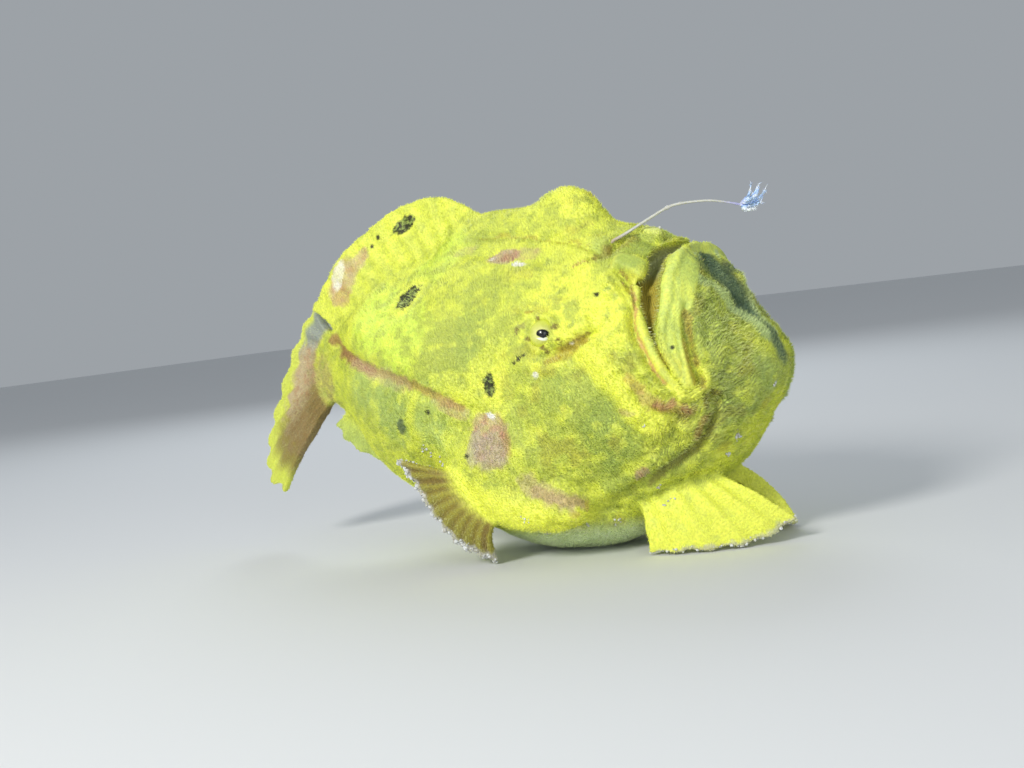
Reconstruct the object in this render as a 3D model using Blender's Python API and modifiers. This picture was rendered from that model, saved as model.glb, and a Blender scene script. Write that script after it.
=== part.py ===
"""A longlure frogfish at life size, resting on its fins with its lure held out in front.

The fish faces +X, its left side is +Y and +Z is up. It is drawn with the floor at FLOOR and then lowered, so
that the feet and the belly's flat rest on z = 0, with the origin on that flat. Lengths are written in
millimetres and become Blender's metres where a mesh is made. The body is one smooth form, parted by thin cuts.
"""

import math
import random

import bmesh
import bpy
import numpy as np
from mathutils import Vector
from mathutils.kdtree import KDTree

# Driving sizes, in millimetres and degrees
MM = 0.001
GAP = 0.3
FLOOR = 2.4
BODY_CENTRE = (2.0, 0.0, 32.0)
BLEND = 2.0
FINE_LEVELS = 7
BODY_SHARE_KEPT = 0.08

# The tail turns to the fish's left behind this point, over this length
BEND_START = -42.0
BEND_LENGTH = 10.0
BEND_DEGREES = 8.0

# Soft masses of the body: centre, radii and nose-up pitch; a pair stands for both sides
MASSES = {
    "trunk": ((-9, 0, 32), (33, 21, 24.5), 0),
    "belly": ((4, 0, 21), (24, 18.5, 19), 0),
    "rear_dome": ((-27, 0, 37.5), (19.5, 13, 18), 0),
    "stalk": ((-45, 0, 37.8), (11.5, 4.4, 9.2), 0),
    "head": ((14, 0, 33), (25, 20, 22.5), 0),
    "nape": ((0, 0, 46), (17, 12, 12), 0),
    "spine_ridge": ((-9, 0, 55), (13, 5.5, 9), 3),
    "snout": ((18.5, 0, 47.4), (9.3, 10, 8.1), 25),
    "snout_ridge": ((16.5, 0, 51.3), (7.4, 4, 5), -8),
    "throat": ((24.3, 0, 25), (14.4, 13.5, 11.5), 0),
    "chin": ((32, 0, 32.1), (12.7, 13.6, 9.4), 0),
    "jaw_arch": ((28.1, 0, 45.4), (8.4, 10.7, 7.3), 25),
    "hump": ((6.3, 0, 57.1), (7.8, 4.2, 9), -18),
}
MASS_PAIRS = {
    "cheek": ((19, 12, 31), (12, 8, 14), 0),
    "shoulder": ((-3, 15, 18), (11, 7, 9), 0),
}

# The mouth's slit on the left side, from the middle of the snout to the corner: place, half width and depth
MOUTH_LINE = (
    ((29.7, 0, 53.6), 1.3, 3.0),
    ((29, 5.9, 52.6), 1.6, 4.6),
    ((28.4, 8.6, 51.1), 1.7, 5.2),
    ((28, 10.7, 49.3), 1.6, 5.2),
    ((28, 12, 47.6), 1.6, 4.8),
    ((28.6, 13.4, 44.7), 1.5, 4.2),
    ((29.1, 14.6, 42.2), 1.2, 3.6),
    ((29.6, 15.5, 39.8), 1.0, 3.0),
    ((30.9, 16.1, 35.6), 0.7, 1.8),
    ((32.8, 15.4, 31.6), 0.6, 1.2),
)

# Folds and ridges along the skin: points on the left side, half width, height at both ends, and how flat the top is
STROKES = {
    "upper_lip_lobe": (((22.9, 10.8, 51.2), (24.6, 10.6, 50.7), (26.4, 11.1, 49.5)), 1.8, (0.9, 1.0), 4),
    "upper_lip": (
        ((26.7, 13.4, 46.4), (27.8, 15.8, 41.6), (28.3, 16.6, 39.4), (29.1, 16.8, 37.4), (30.3, 16.8, 34.4), (33, 15, 29.6)),
        1.2, (0.9, 0.9), 4,
    ),
    "upper_lip_middle": (((26.6, 0, 55.2), (27, 4, 54.4), (27.4, 7, 53), (27.5, 9.5, 50.9)), 1.4, (0.6, 0.6), 2),
    "lip_fold": (
        ((22.4, 11.8, 50.2), (24, 12.7, 48.7), (25.5, 13.7, 46.7), (26.9, 16.2, 41.7), (28.2, 17.2, 38), (29.5, 17.2, 34.7),
         (32, 15.7, 29.7)),
        0.8, (-0.9, -0.8), 2,
    ),
    "lip_fold_edge": (
        ((21, 13.5, 48.6), (24.7, 15.6, 44.4), (25.5, 17, 41.6), (25.9, 18, 39.4), (26.8, 18.2, 37.6), (30, 17.4, 31)),
        1.1, (0.5, 0.8), 2,
    ),
    "lower_lip": (
        ((31, 0, 53.6), (31.9, 7.8, 50), (31.4, 10, 48.1), (31.4, 11.2, 45.7), (31.7, 12.4, 42.6), (32, 13.8, 39.4),
         (32.5, 14.6, 36.8), (34.1, 14.6, 31.7)),
        1.9, (0.9, 0.8), 4,
    ),
    "lower_lip_crease": (
        ((33.7, 8.7, 46.5), (33.3, 10.4, 43.7), (33.7, 12, 39.7), (34.4, 13, 37.1), (35.6, 13.7, 32), (36, 13.4, 30.4)),
        0.8, (-0.5, -1.4), 2,
    ),
    "jaw_knob": (((31.4, 6.6, 51.2), (33.1, 6.7, 49.8), (34.4, 7.2, 47.6)), 1.6, (0.8, 0.8), 4),
    "jaw_bone": (((35.3, 7, 46.5), (35.3, 10.6, 40.6), (36.6, 12.8, 34.6)), 1.1, (0.5, 0.8), 2),
    "corner_knot": (((28.7, 17.9, 29.6), (30.6, 16.3, 27.5), (31.9, 15.2, 26.5), (34.1, 13.4, 26.5)), 1.0, (0.8, 0.9), 2),
    "corner_fold": (
        ((37.8, 10.6, 27.6), (34.1, 10.7, 21.9), (31.5, 11.2, 19.5), (28.5, 12.1, 17.8), (23.4, 13.2, 14.8)),
        1.1, (-1.0, -0.8), 2,
    ),
    "cheek_band": (((21, 20.2, 36.2), (24.4, 20.2, 32), (26.4, 19.2, 28.2), (29.4, 17.2, 24.6)), 1.9, (0.5, 0.9), 2),
    "nostril_crease": (((15, 20.3, 38), (17.8, 20.1, 38.7), (20.8, 19, 40.5)), 1.0, (-0.7, -1.2), 2),
    "front_nostril": (((22.2, 15, 46.7), (22.7, 14.9, 46.6)), 1.0, (1.1, 1.0), 2),
    "lure_groove": (((17.4, 11.1, 52.2), (19.9, 9.6, 53.2), (21.2, 6.8, 55)), 1.0, (-1.1, -1.1), 2),
    "snout_knob": (((23.6, 3.6, 56), (24.6, 3.7, 55.5)), 1.4, (0.8, 0.8), 2),
    "hump_crease": (((-8.8, 5.2, 59.4), (4.7, 6.3, 57.5), (10.8, 6.5, 56.2), (18.3, 9.7, 53.4)), 1.1, (-0.6, -0.6), 2),
    "flank_crease": (
        ((-48, 3.8, 43), (-37, 11, 40.5), (-27, 17.1, 37.5), (-12.1, 21, 32.8)),
        1.6, (-1.0, -0.4), 2,
    ),
    "flank_swell": (((-44, 6.5, 47), (-34, 11.5, 46), (-24, 16.2, 43.4), (-13, 19.6, 38.6)), 3.2, (0.5, 0.4), 2),
}

# Eyes: the place on the left side's skin, the way the eye looks, and its sizes
EYE_PLACE = (11.1, 19.3, 41.3)
EYE_LOOK = (0.08, 0.95, 0.3)
EYE_RADIUS = 2.4
EYE_SUNK = 0.95
LID_RADIUS = 2.9
LID_HALF_WIDTH = 1.0
LID_HEIGHT = 1.0

# Cuts that part the body: a point and the way that the part in front of it lies
CUTTER_SIDE = 300.0
JAW_CUT = ((29.9, 0, 42.3), (0.987, 0, 0.158))
NECK_CUT = ((-9.0, 0, 32), (1, 0, 0))
STALK_CUT = ((-38.5, 0, 38), (1, 0, 0))
SPINE_BALLS = {
    "third_dorsal_spine": ((6.5, 0, 64.6), 6.8),
    "second_dorsal_spine": ((17.3, 0, 59), 4.2),
}

# The lure: a rod from the snout, then a tuft of white threads
ROD_LINE = (
    (17.8, -7.4, 53.2), (19.6, -7.7, 54.8), (21, -7, 55.5), (22.7, -6.4, 56.3), (25.9, -5.2, 57.9), (28.6, -4, 59.2),
    (30.8, -3.3, 59.6), (34.8, -2, 59.5), (37.2, -1, 59), (40, 0, 58.1),
)
ROD_RADII = (0.45, 0.3)
TUFT_RADIUS = 0.9
TUFT_THREADS = 12
TUFT_LEAN = (0.62, 0.12, 0.5)
TUFT_SPREAD = (0.5, 0.7, -0.55)
THREAD_LENGTH = 3.8
THREAD_RADIUS = 0.34
THREAD_TAPER = 0.45
THREAD_BEND = 0.7
THREAD_TURN = 2.4
TUFT_SEED = 5

# Each fin: root and tip lines, rays, root and tip thickness, bow of the sheet, and the notch between rays
FINS = {
    "dorsal_fin": {
        "root": ((-12, 0, 55), (-24, 0, 50), (-45, 0, 41.5)),
        "tips": ((-10, 0, 63), (-20.5, 0.5, 68), (-31.5, 0.8, 67.4), (-40, 0.5, 63.8), (-48, 0, 59), (-56, -0.5, 50.5)),
        "rays": 12, "thickness": (8.0, 1.2), "bow": (0, 0.6, 0), "notch": 0.0,
    },
    "anal_fin": {
        "root": ((-24, 0, 23), (-34, 0, 26.5), (-43.5, 0, 32.5)),
        "tips": ((-28, -1, 15.8), (-35, -1.2, 17.2), (-42, -1.4, 19.6), (-48.6, -1.6, 23), (-52.2, -1.6, 27.2)),
        "rays": 7, "thickness": (6.0, 1.2), "bow": (0, -0.6, 0), "notch": 0.03,
    },
    "caudal_fin": {
        "root": ((-50.5, 0, 44.5), (-52, 0, 39), (-51.5, 0, 33.5)),
        "tips": ((-60, 4.3, 52), (-66, 4.6, 47), (-71.6, 4.6, 40.5), (-75.6, 3.6, 33), (-78, 2.2, 26.5),
                 (-78.8, 0.8, 20.5), (-77, -0.4, 15.8), (-72, -1, 13.6)),
        "rays": 9, "thickness": (3.6, 1.0), "bow": (0, -1.5, 0), "notch": 0.04,
    },
    "pectoral_fin_right": {
        "root": ((-6.5, -19.5, 18.5), (-5, -19.6, 15), (-1.5, -18.8, 11.5)),
        "tips": ((-21.8, -20.5, 21.8), (-18.4, -20, 17.2), (-16, -19.5, 12.4), (-13, -19, 8), (-9.4, -18, 5),
                 (-5, -17, 2.9)),
        "rays": 10, "thickness": (3.0, 1.0), "bow": (0, -2.4, 0.6), "notch": 0.06,
    },
    "pectoral_fin_left": {
        "root": ((-6.5, 19.5, 18.5), (-5, 19.6, 15), (-1.5, 18.8, 11.5)),
        "tips": ((-21, 22.5, 19), (-19.4, 24.5, 12.6), (-16, 25.6, 7.4), (-11.5, 26, 3.8), (-6.5, 25.2, 2.9),
                 (-1.5, 23, 2.9)),
        "rays": 10, "thickness": (3.0, 1.0), "bow": (0, 1.8, 1.0), "notch": 0.06,
    },
    "pelvic_fin_right": {
        "root": ((18, -7.5, 14.5), (23, -6.5, 15.5), (27.5, -3.5, 15.5)),
        "tips": ((21.5, -10.2, 2.9), (27.5, -9.4, 2.9), (33.5, -6.4, 2.9), (38.8, -2.4, 3.6), (42.8, 1.5, 6)),
        "rays": 6, "thickness": (6.0, 1.2), "bow": (1.2, -1.0, 0.8), "notch": 0.02,
    },
    "pelvic_fin_left": {
        "root": ((18.5, 9.5, 15), (22.5, 8.5, 15.5), (26, 6, 15.5)),
        "tips": ((19.5, 19.5, 2.9), (25.5, 20.5, 2.9), (31, 19, 2.9), (35.5, 15.8, 2.9), (38, 11.5, 3.4)),
        "rays": 6, "thickness": (6.0, 1.2), "bow": (1.2, 1.0, 0.8), "notch": 0.02,
    },
}
FIN_ROWS = 7
LEAST_THICKNESS = 0.5
MEMBRANE_SHARE = 0.55

# Short arms between the body and the pectoral fins, on the left side
ARM_CENTRE = (2.5, 18.5, 13.8)
ARM_MASSES = {
    "shoulder": ((7, 16.2, 12.6), (8, 4.8, 4.6), -12),
    "elbow": ((-2, 19, 15.2), (8.2, 3.2, 4.4), -38),
}
ARM_LEVELS = 4
ARM_SHARE_KEPT = 0.4
BALL_LEVELS = 3

# Colours from the animal: linear RGB, with roughness
SKIN_COLOUR = (0.62, 0.58, 0.035, 1)
FIN_COLOUR = (0.68, 0.62, 0.05, 1)
EYE_COLOUR = (0.75, 0.68, 0.25, 1)
ROD_COLOUR = (0.42, 0.33, 0.26, 1)
TUFT_COLOUR = (0.82, 0.84, 0.92, 1)


def clear_scene():
    for obj in list(bpy.data.objects):
        bpy.data.objects.remove(obj, do_unlink=True)


def new_collection(name, hidden=False):
    collection = bpy.data.collections.new(name)
    bpy.context.scene.collection.children.link(collection)
    collection.hide_render = hidden
    return collection


def material(name, colour, roughness):
    made = bpy.data.materials.new(name)
    made.use_nodes = True
    shader = made.node_tree.nodes["Principled BSDF"]
    shader.inputs["Base Color"].default_value = colour
    shader.inputs["Roughness"].default_value = roughness
    shader.inputs["Metallic"].default_value = 0.0
    return made


def place(obj, collection):
    for other in list(obj.users_collection):
        other.objects.unlink(obj)
    collection.objects.link(obj)
    return obj


def mesh_points(mesh):
    flat = np.empty(len(mesh.vertices) * 3)
    mesh.vertices.foreach_get("co", flat)
    return flat.reshape(-1, 3)


def set_mesh_points(mesh, points):
    mesh.vertices.foreach_set("co", np.asarray(points, np.float32).ravel())
    mesh.update()


def smooth_line(points, count):
    """Points spread evenly by control interval along a smooth curve through the given ones."""
    knots = np.array(points, float)
    knots = np.vstack([2 * knots[0] - knots[1], knots, 2 * knots[-1] - knots[-2]])
    spans = len(knots) - 3
    along = np.linspace(0, spans, count)
    first = np.minimum(along.astype(int), spans - 1)
    t = (along - first)[:, None]
    a, b, c, d = (knots[first + k] for k in range(4))
    return 0.5 * (2 * b + (c - a) * t + (2 * a - 5 * b + 4 * c - d) * t**2 + (3 * b - a - 3 * c + d) * t**3)


def both_sides(pairs):
    """Each paired mass on the left side and again on the right."""
    made = []
    for centre, radii, pitch in pairs.values():
        for side in (1, -1):
            made.append(((centre[0], side * centre[1], centre[2]), radii, pitch))
    return made


def field(points, masses):
    """Roughly the distance from the smoothly joined masses, negative inside."""
    total = np.zeros(len(points))
    for centre, radii, pitch in masses:
        offset = points - np.array(centre, float)
        turn = math.radians(pitch)
        forward = np.array((math.cos(turn), 0, math.sin(turn)))
        upward = np.array((-math.sin(turn), 0, math.cos(turn)))
        local = np.stack([offset @ forward, offset[:, 1], offset @ upward], 1)
        size = np.array(radii, float)
        near = np.linalg.norm(local / size, axis=1)
        steep = np.linalg.norm(local / size**2, axis=1)
        distance = near * (near - 1) / np.maximum(steep, 1e-6)
        total += np.exp(-np.clip(distance, -20, 40) / BLEND)
    return -BLEND * np.log(total)


def soft_form(name, centre, masses, levels):
    """A sphere of triangles whose points are moved out along their rays to the masses' joined surface."""
    bpy.ops.mesh.primitive_ico_sphere_add(subdivisions=levels, radius=1)
    form = bpy.context.active_object
    form.name = name
    middle = np.array(centre, float)
    directions = mesh_points(form.data)
    directions /= np.linalg.norm(directions, axis=1)[:, None]
    low = np.full(len(directions), 0.5)
    high = np.full(len(directions), 75.0)
    for _ in range(26):
        reach = (low + high) / 2
        inside = field(middle + directions * reach[:, None], masses) < 0
        low = np.where(inside, reach, low)
        high = np.where(inside, high, reach)
    set_mesh_points(form.data, middle + directions * reach[:, None])
    return form


def nearest_on_line(points, line):
    """Each point's distance to the line, and how far along it, from 0 to 1, the nearest place is."""
    best = np.full(len(points), 1e9)
    where = np.zeros(len(points))
    for k in range(len(line) - 1):
        start, step = line[k], line[k + 1] - line[k]
        t = np.clip((points - start) @ step / max(step @ step, 1e-9), 0, 1)
        distance = np.linalg.norm(points - start - t[:, None] * step, axis=1)
        closer = distance < best
        best = np.where(closer, distance, best)
        where = np.where(closer, (k + t) / (len(line) - 1), where)
    return best, where


def between(ends, share):
    return ends[0] + (ends[1] - ends[0]) * share


def vertex_normals(mesh):
    flat = np.empty(len(mesh.vertices) * 3)
    mesh.vertex_normals.foreach_get("vector", flat)
    return flat.reshape(-1, 3)


def surface_finder(points):
    """A function that moves places onto the nearest of the points."""
    tree = KDTree(len(points))
    for number, point in enumerate(points):
        tree.insert(point, number)
    tree.balance()
    return lambda places: np.array([tree.find(place)[0] for place in places], float)


def press_features(body):
    """Opens the mouth and raises or sinks the folds, lips, nostrils and lids in the body's skin."""
    skin = mesh_points(body.data)
    normals = vertex_normals(body.data)
    left = skin * (1, 0, 1) + np.abs(skin * (0, 1, 0))
    lift = np.zeros(len(skin))
    snap = surface_finder(left)
    for points, half_width, heights, flatness in STROKES.values():
        distance, along = nearest_on_line(left, snap(smooth_line(points, 20)))
        lift += between(heights, along) * np.exp(-((distance / half_width) ** flatness))
    ring = np.linalg.norm(left - np.array(EYE_PLACE), axis=1)
    lift += LID_HEIGHT * np.exp(-(((ring - LID_RADIUS) / LID_HALF_WIDTH) ** 2))
    places, half_widths, depths = zip(*MOUTH_LINE)
    distance, along = nearest_on_line(left, smooth_line(places, 40))
    spread = np.linspace(0, 1, len(places))
    open_share = 1 - np.clip((distance / np.interp(along, spread, half_widths) - 0.6) / 0.8, 0, 1)
    depth = np.interp(along, spread, depths) * open_share**2 * (3 - 2 * open_share)
    inward = np.array(BODY_CENTRE) - skin
    inward /= np.linalg.norm(inward, axis=1)[:, None]
    set_mesh_points(body.data, skin + normals * lift[:, None] + inward * depth[:, None])


def bend_tail(points):
    """Turns what lies behind the bend's start to the fish's left, along an arc and then straight on."""
    total = math.radians(BEND_DEGREES)
    radius = BEND_LENGTH / total
    behind = np.maximum(BEND_START - points[:, 0], 0)
    angle = np.minimum(behind / BEND_LENGTH, 1) * total
    rest = np.maximum(behind - BEND_LENGTH, 0)
    middle_x = BEND_START - radius * np.sin(angle) - rest * np.cos(angle)
    middle_y = radius * (1 - np.cos(angle)) + rest * np.sin(angle)
    bent = np.stack(
        [middle_x + points[:, 1] * np.sin(angle), middle_y + points[:, 1] * np.cos(angle), points[:, 2]], 1
    )
    return np.where(behind[:, None] > 0, bent, points)


def applied(obj):
    """Replaces the object's mesh by what its modifiers make of it."""
    graph = bpy.context.evaluated_depsgraph_get()
    mesh = bpy.data.meshes.new_from_object(obj.evaluated_get(graph))
    obj.modifiers.clear()
    obj.data = mesh
    return obj


def thinned(obj, share):
    """The same surface with fewer triangles, kept where it curves most."""
    modifier = obj.modifiers.new("thin", "DECIMATE")
    modifier.ratio = share
    return applied(obj)


def copy_of(obj, name, collection):
    made = obj.copy()
    made.data = obj.data.copy()
    made.name = name
    collection.objects.link(made)
    return made


def swollen(obj, name, by, collection):
    """A cutter: the same form with every point moved out along its normal."""
    made = copy_of(obj, name, collection)
    set_mesh_points(made.data, mesh_points(made.data) + vertex_normals(made.data) * by * MM)
    return made


def boolean(obj, other, operation):
    modifier = obj.modifiers.new(operation.lower(), "BOOLEAN")
    modifier.operation = operation
    modifier.object = other
    return applied(obj)


def keep_largest(obj):
    """Removes every loose piece of the mesh but the one with the most faces."""
    shape = bmesh.new()
    shape.from_mesh(obj.data)
    unseen = set(shape.faces)
    pieces = []
    while unseen:
        queue = [unseen.pop()]
        piece = list(queue)
        while queue:
            face = queue.pop()
            for edge in face.edges:
                for neighbour in edge.link_faces:
                    if neighbour in unseen:
                        unseen.remove(neighbour)
                        queue.append(neighbour)
                        piece.append(neighbour)
        pieces.append(piece)
    pieces.sort(key=lambda faces: sum(face.calc_area() for face in faces))
    loose = [face for piece in pieces[:-1] for face in piece]
    bmesh.ops.delete(shape, geom=loose, context="FACES")
    bmesh.ops.triangulate(shape, faces=shape.faces)
    shape.to_mesh(obj.data)
    shape.free()
    return obj


def half_space(point, normal, offset, collection):
    """A cutter: a great cube that fills all that lies ahead of a plane, which is moved by offset along its normal."""
    side = CUTTER_SIDE * MM
    bpy.ops.mesh.primitive_cube_add(size=side)
    cube = place(bpy.context.active_object, collection)
    ahead = Vector(normal).normalized()
    turn = Vector((0, 0, 1)).rotation_difference(ahead).to_matrix().to_4x4()
    turn.translation = (Vector(point) + ahead * offset) * MM + ahead * side / 2
    cube.data.transform(turn)
    return cube


def ball(centre, radius, levels, collection, name="ball"):
    bpy.ops.mesh.primitive_ico_sphere_add(subdivisions=levels, radius=radius * MM)
    made = place(bpy.context.active_object, collection)
    made.name = name
    made.data.transform(made.matrix_world)
    set_mesh_points(made.data, mesh_points(made.data) + np.array(centre, float) * MM)
    return made


def make_body(helpers):
    """The whole body in one closed form, with the mouth and folds pressed in and the tail's stalk bent."""
    masses = [*MASSES.values(), *both_sides(MASS_PAIRS)]
    body = place(soft_form("body", BODY_CENTRE, masses, FINE_LEVELS), helpers)
    press_features(body)
    set_mesh_points(body.data, bend_tail(mesh_points(body.data)) * MM)
    return thinned(body, BODY_SHARE_KEPT)


def opposite(vector):
    return tuple(-value for value in vector)


def part_body(body, helpers, fish, skin):
    """Cuts the body into head, lower jaw, trunk and tail stalk, with the two dorsal spines taken off the head."""
    plan = {
        "lower_jaw": [(JAW_CUT, 1)],
        "head": [(JAW_CUT, -1), (NECK_CUT, 1)],
        "trunk": [(NECK_CUT, -1), (STALK_CUT, 1)],
        "tail_stalk": [(STALK_CUT, -1)],
    }
    nodes = {}
    for name, sides in plan.items():
        node = copy_of(body, name, fish)
        for (point, normal), side in sides:
            away = normal if side < 0 else opposite(normal)
            boolean(node, half_space(point, away, -GAP / 2, helpers), "DIFFERENCE")
        nodes[name] = node
    for name, (centre, radius) in SPINE_BALLS.items():
        spine = copy_of(nodes["head"], name, fish)
        boolean(spine, ball(centre, radius - GAP / 2, BALL_LEVELS, helpers), "INTERSECT")
        boolean(nodes["head"], ball(centre, radius + GAP / 2, BALL_LEVELS, helpers), "DIFFERENCE")
        nodes[name] = spine
    for side in (1, -1):
        boolean(nodes["head"], ball(eye_centre(side), EYE_RADIUS + GAP, BALL_LEVELS, helpers), "DIFFERENCE")
    for node in nodes.values():
        keep_largest(node)
        node.data.materials.clear()
        node.data.materials.append(skin)
    return nodes


def eye_centre(side):
    look = np.array(EYE_LOOK) / np.linalg.norm(EYE_LOOK)
    centre = np.array(EYE_PLACE) - look * EYE_SUNK
    return centre * (1, side, 1)


def make_eyes(fish, surface):
    for name, side in (("eye_left", 1), ("eye_right", -1)):
        bpy.ops.mesh.primitive_ico_sphere_add(
            subdivisions=BALL_LEVELS, radius=EYE_RADIUS * MM, location=eye_centre(side) * MM
        )
        eye = place(bpy.context.active_object, fish)
        eye.name = name
        eye.data.materials.append(surface)


def ray_sheet(name, plan):
    """A fin: a sheet whose columns are rays and, between them, thinner membrane that stops short of the tips."""
    rays = plan["rays"]
    columns = 2 * rays - 1
    roots = smooth_line(plan["root"], columns)
    tips = smooth_line(plan["tips"], columns)
    shape = bmesh.new()
    bmesh.ops.create_grid(shape, x_segments=columns - 1, y_segments=FIN_ROWS - 1, size=1)
    bmesh.ops.triangulate(shape, faces=shape.faces)
    grid = sorted(shape.verts, key=lambda v: (round(v.co.x, 4), round(v.co.y, 4)))
    thickness = {}
    for number, vertex in enumerate(grid):
        column, row = divmod(number, FIN_ROWS)
        is_ray = column % 2 == 0
        down = row / (FIN_ROWS - 1)
        tip = tips[column] if is_ray else tips[column] + (roots[column] - tips[column]) * plan["notch"]
        bow = np.array(plan["bow"], float) * 4 * down * (1 - down)
        vertex.co = roots[column] + (tip - roots[column]) * down + bow
        thick = between(plan["thickness"], down**0.6) * (1 if is_ray else MEMBRANE_SHARE)
        thickness[vertex.index] = max(thick, LEAST_THICKNESS)
    mesh = bpy.data.meshes.new(name)
    shape.verts.index_update()
    shape.to_mesh(mesh)
    shape.free()
    return mesh, thickness


def make_fin(name, plan, collection, surface):
    mesh, thickness = ray_sheet(name, plan)
    fin = bpy.data.objects.new(name, mesh)
    collection.objects.link(fin)
    set_mesh_points(mesh, bend_tail(mesh_points(mesh)) * MM)
    most = max(thickness.values())
    group = fin.vertex_groups.new(name="thickness")
    for index, thick in thickness.items():
        group.add([index], thick / most, "REPLACE")
    shell = fin.modifiers.new("shell", "SOLIDIFY")
    shell.thickness = most * MM
    shell.offset = 0
    shell.vertex_group = group.name
    applied(fin)
    fin.data.materials.append(surface)
    return fin


def make_rod(helpers, fish, surface):
    """The lure's rod, a round wire that thins towards the tuft."""
    line = smooth_line(ROD_LINE, 20)
    curve = bpy.data.curves.new("illicium", "CURVE")
    curve.dimensions = "3D"
    curve.bevel_depth = MM
    curve.bevel_resolution = 2
    curve.use_fill_caps = True
    spline = curve.splines.new("POLY")
    spline.points.add(len(line) - 1)
    for k, (point, knot) in enumerate(zip(line, spline.points)):
        knot.co = (*(point * MM), 1)
        knot.radius = between(ROD_RADII, k / (len(line) - 1))
    wire = bpy.data.objects.new("wire", curve)
    helpers.objects.link(wire)
    graph = bpy.context.evaluated_depsgraph_get()
    mesh = bpy.data.meshes.new_from_object(wire.evaluated_get(graph))
    bpy.data.objects.remove(wire)
    shape = bmesh.new()
    shape.from_mesh(mesh)
    bmesh.ops.remove_doubles(shape, verts=shape.verts, dist=0.00001)
    shape.to_mesh(mesh)
    shape.free()
    rod = bpy.data.objects.new("illicium", mesh)
    fish.objects.link(rod)
    mesh.materials.append(surface)
    return rod


def make_thread(start, way, length, radius, side_bend, collection):
    """One tapered thread of the tuft, its blunt end at start."""
    bpy.ops.mesh.primitive_cone_add(
        vertices=5,
        radius1=radius * MM,
        radius2=radius * THREAD_TAPER * MM,
        depth=length * MM,
        location=(0, 0, length * MM / 2),
    )
    thread = place(bpy.context.active_object, collection)
    thread.data.transform(thread.matrix_world)
    thread.matrix_world.identity()
    shape = bmesh.new()
    shape.from_mesh(thread.data)
    sides = [edge for edge in shape.edges if abs(edge.verts[0].co.z - edge.verts[1].co.z) > length * MM / 2]
    bmesh.ops.subdivide_edges(shape, edges=sides, cuts=1)
    turn = Vector((0, 0, 1)).rotation_difference(Vector(way))
    for vertex in shape.verts:
        share = vertex.co.z / (length * MM)
        bent = vertex.co + Vector(side_bend) * share**2 * MM
        vertex.co = turn @ bent + Vector(start) * MM
    bmesh.ops.triangulate(shape, faces=shape.faces)
    shape.to_mesh(thread.data)
    shape.free()
    return thread


def make_tuft(helpers, fish, surface):
    """The lure's tuft: a small knot with threads that fan forwards and up from it."""
    chance = random.Random(TUFT_SEED)
    end = np.array(ROD_LINE[-1], float)
    ahead = np.array(ROD_LINE[-1], float) - np.array(ROD_LINE[-2], float)
    ahead /= np.linalg.norm(ahead)
    middle = end + ahead * (TUFT_RADIUS + GAP)
    tuft = ball(middle, TUFT_RADIUS, 2, fish, "esca")
    threads = new_collection("threads", hidden=True)
    for k in range(TUFT_THREADS):
        around = THREAD_TURN * k
        spread = 0.25 + 0.75 * (k / TUFT_THREADS)
        out = np.array((math.cos(around), math.sin(around), math.cos(around))) * TUFT_SPREAD
        way = np.array(TUFT_LEAN) + out * spread
        way /= np.linalg.norm(way)
        length = THREAD_LENGTH * chance.uniform(0.65, 1.0)
        side_bend = [chance.uniform(-THREAD_BEND, THREAD_BEND) for _ in range(2)] + [0]
        start = middle + way * TUFT_RADIUS * 0.35
        make_thread(start, way, length, THREAD_RADIUS, side_bend, threads)
    modifier = tuft.modifiers.new("join", "BOOLEAN")
    modifier.operation = "UNION"
    modifier.operand_type = "COLLECTION"
    modifier.collection = threads
    applied(tuft)
    for thread in list(threads.objects):
        bpy.data.objects.remove(thread, do_unlink=True)
    bpy.data.collections.remove(threads)
    keep_largest(tuft)
    tuft.data.materials.clear()
    tuft.data.materials.append(surface)
    return tuft


def make_arm(side, name, helpers, fish, surface):
    mirror = (1, side, 1)
    masses = [(tuple(np.array(c, float) * mirror), r, p) for c, r, p in ARM_MASSES.values()]
    arm = place(soft_form(name, np.array(ARM_CENTRE) * mirror, masses, ARM_LEVELS), fish)
    set_mesh_points(arm.data, mesh_points(arm.data) * MM)
    thinned(arm, ARM_SHARE_KEPT)
    arm.data.materials.append(surface)
    return arm


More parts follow.
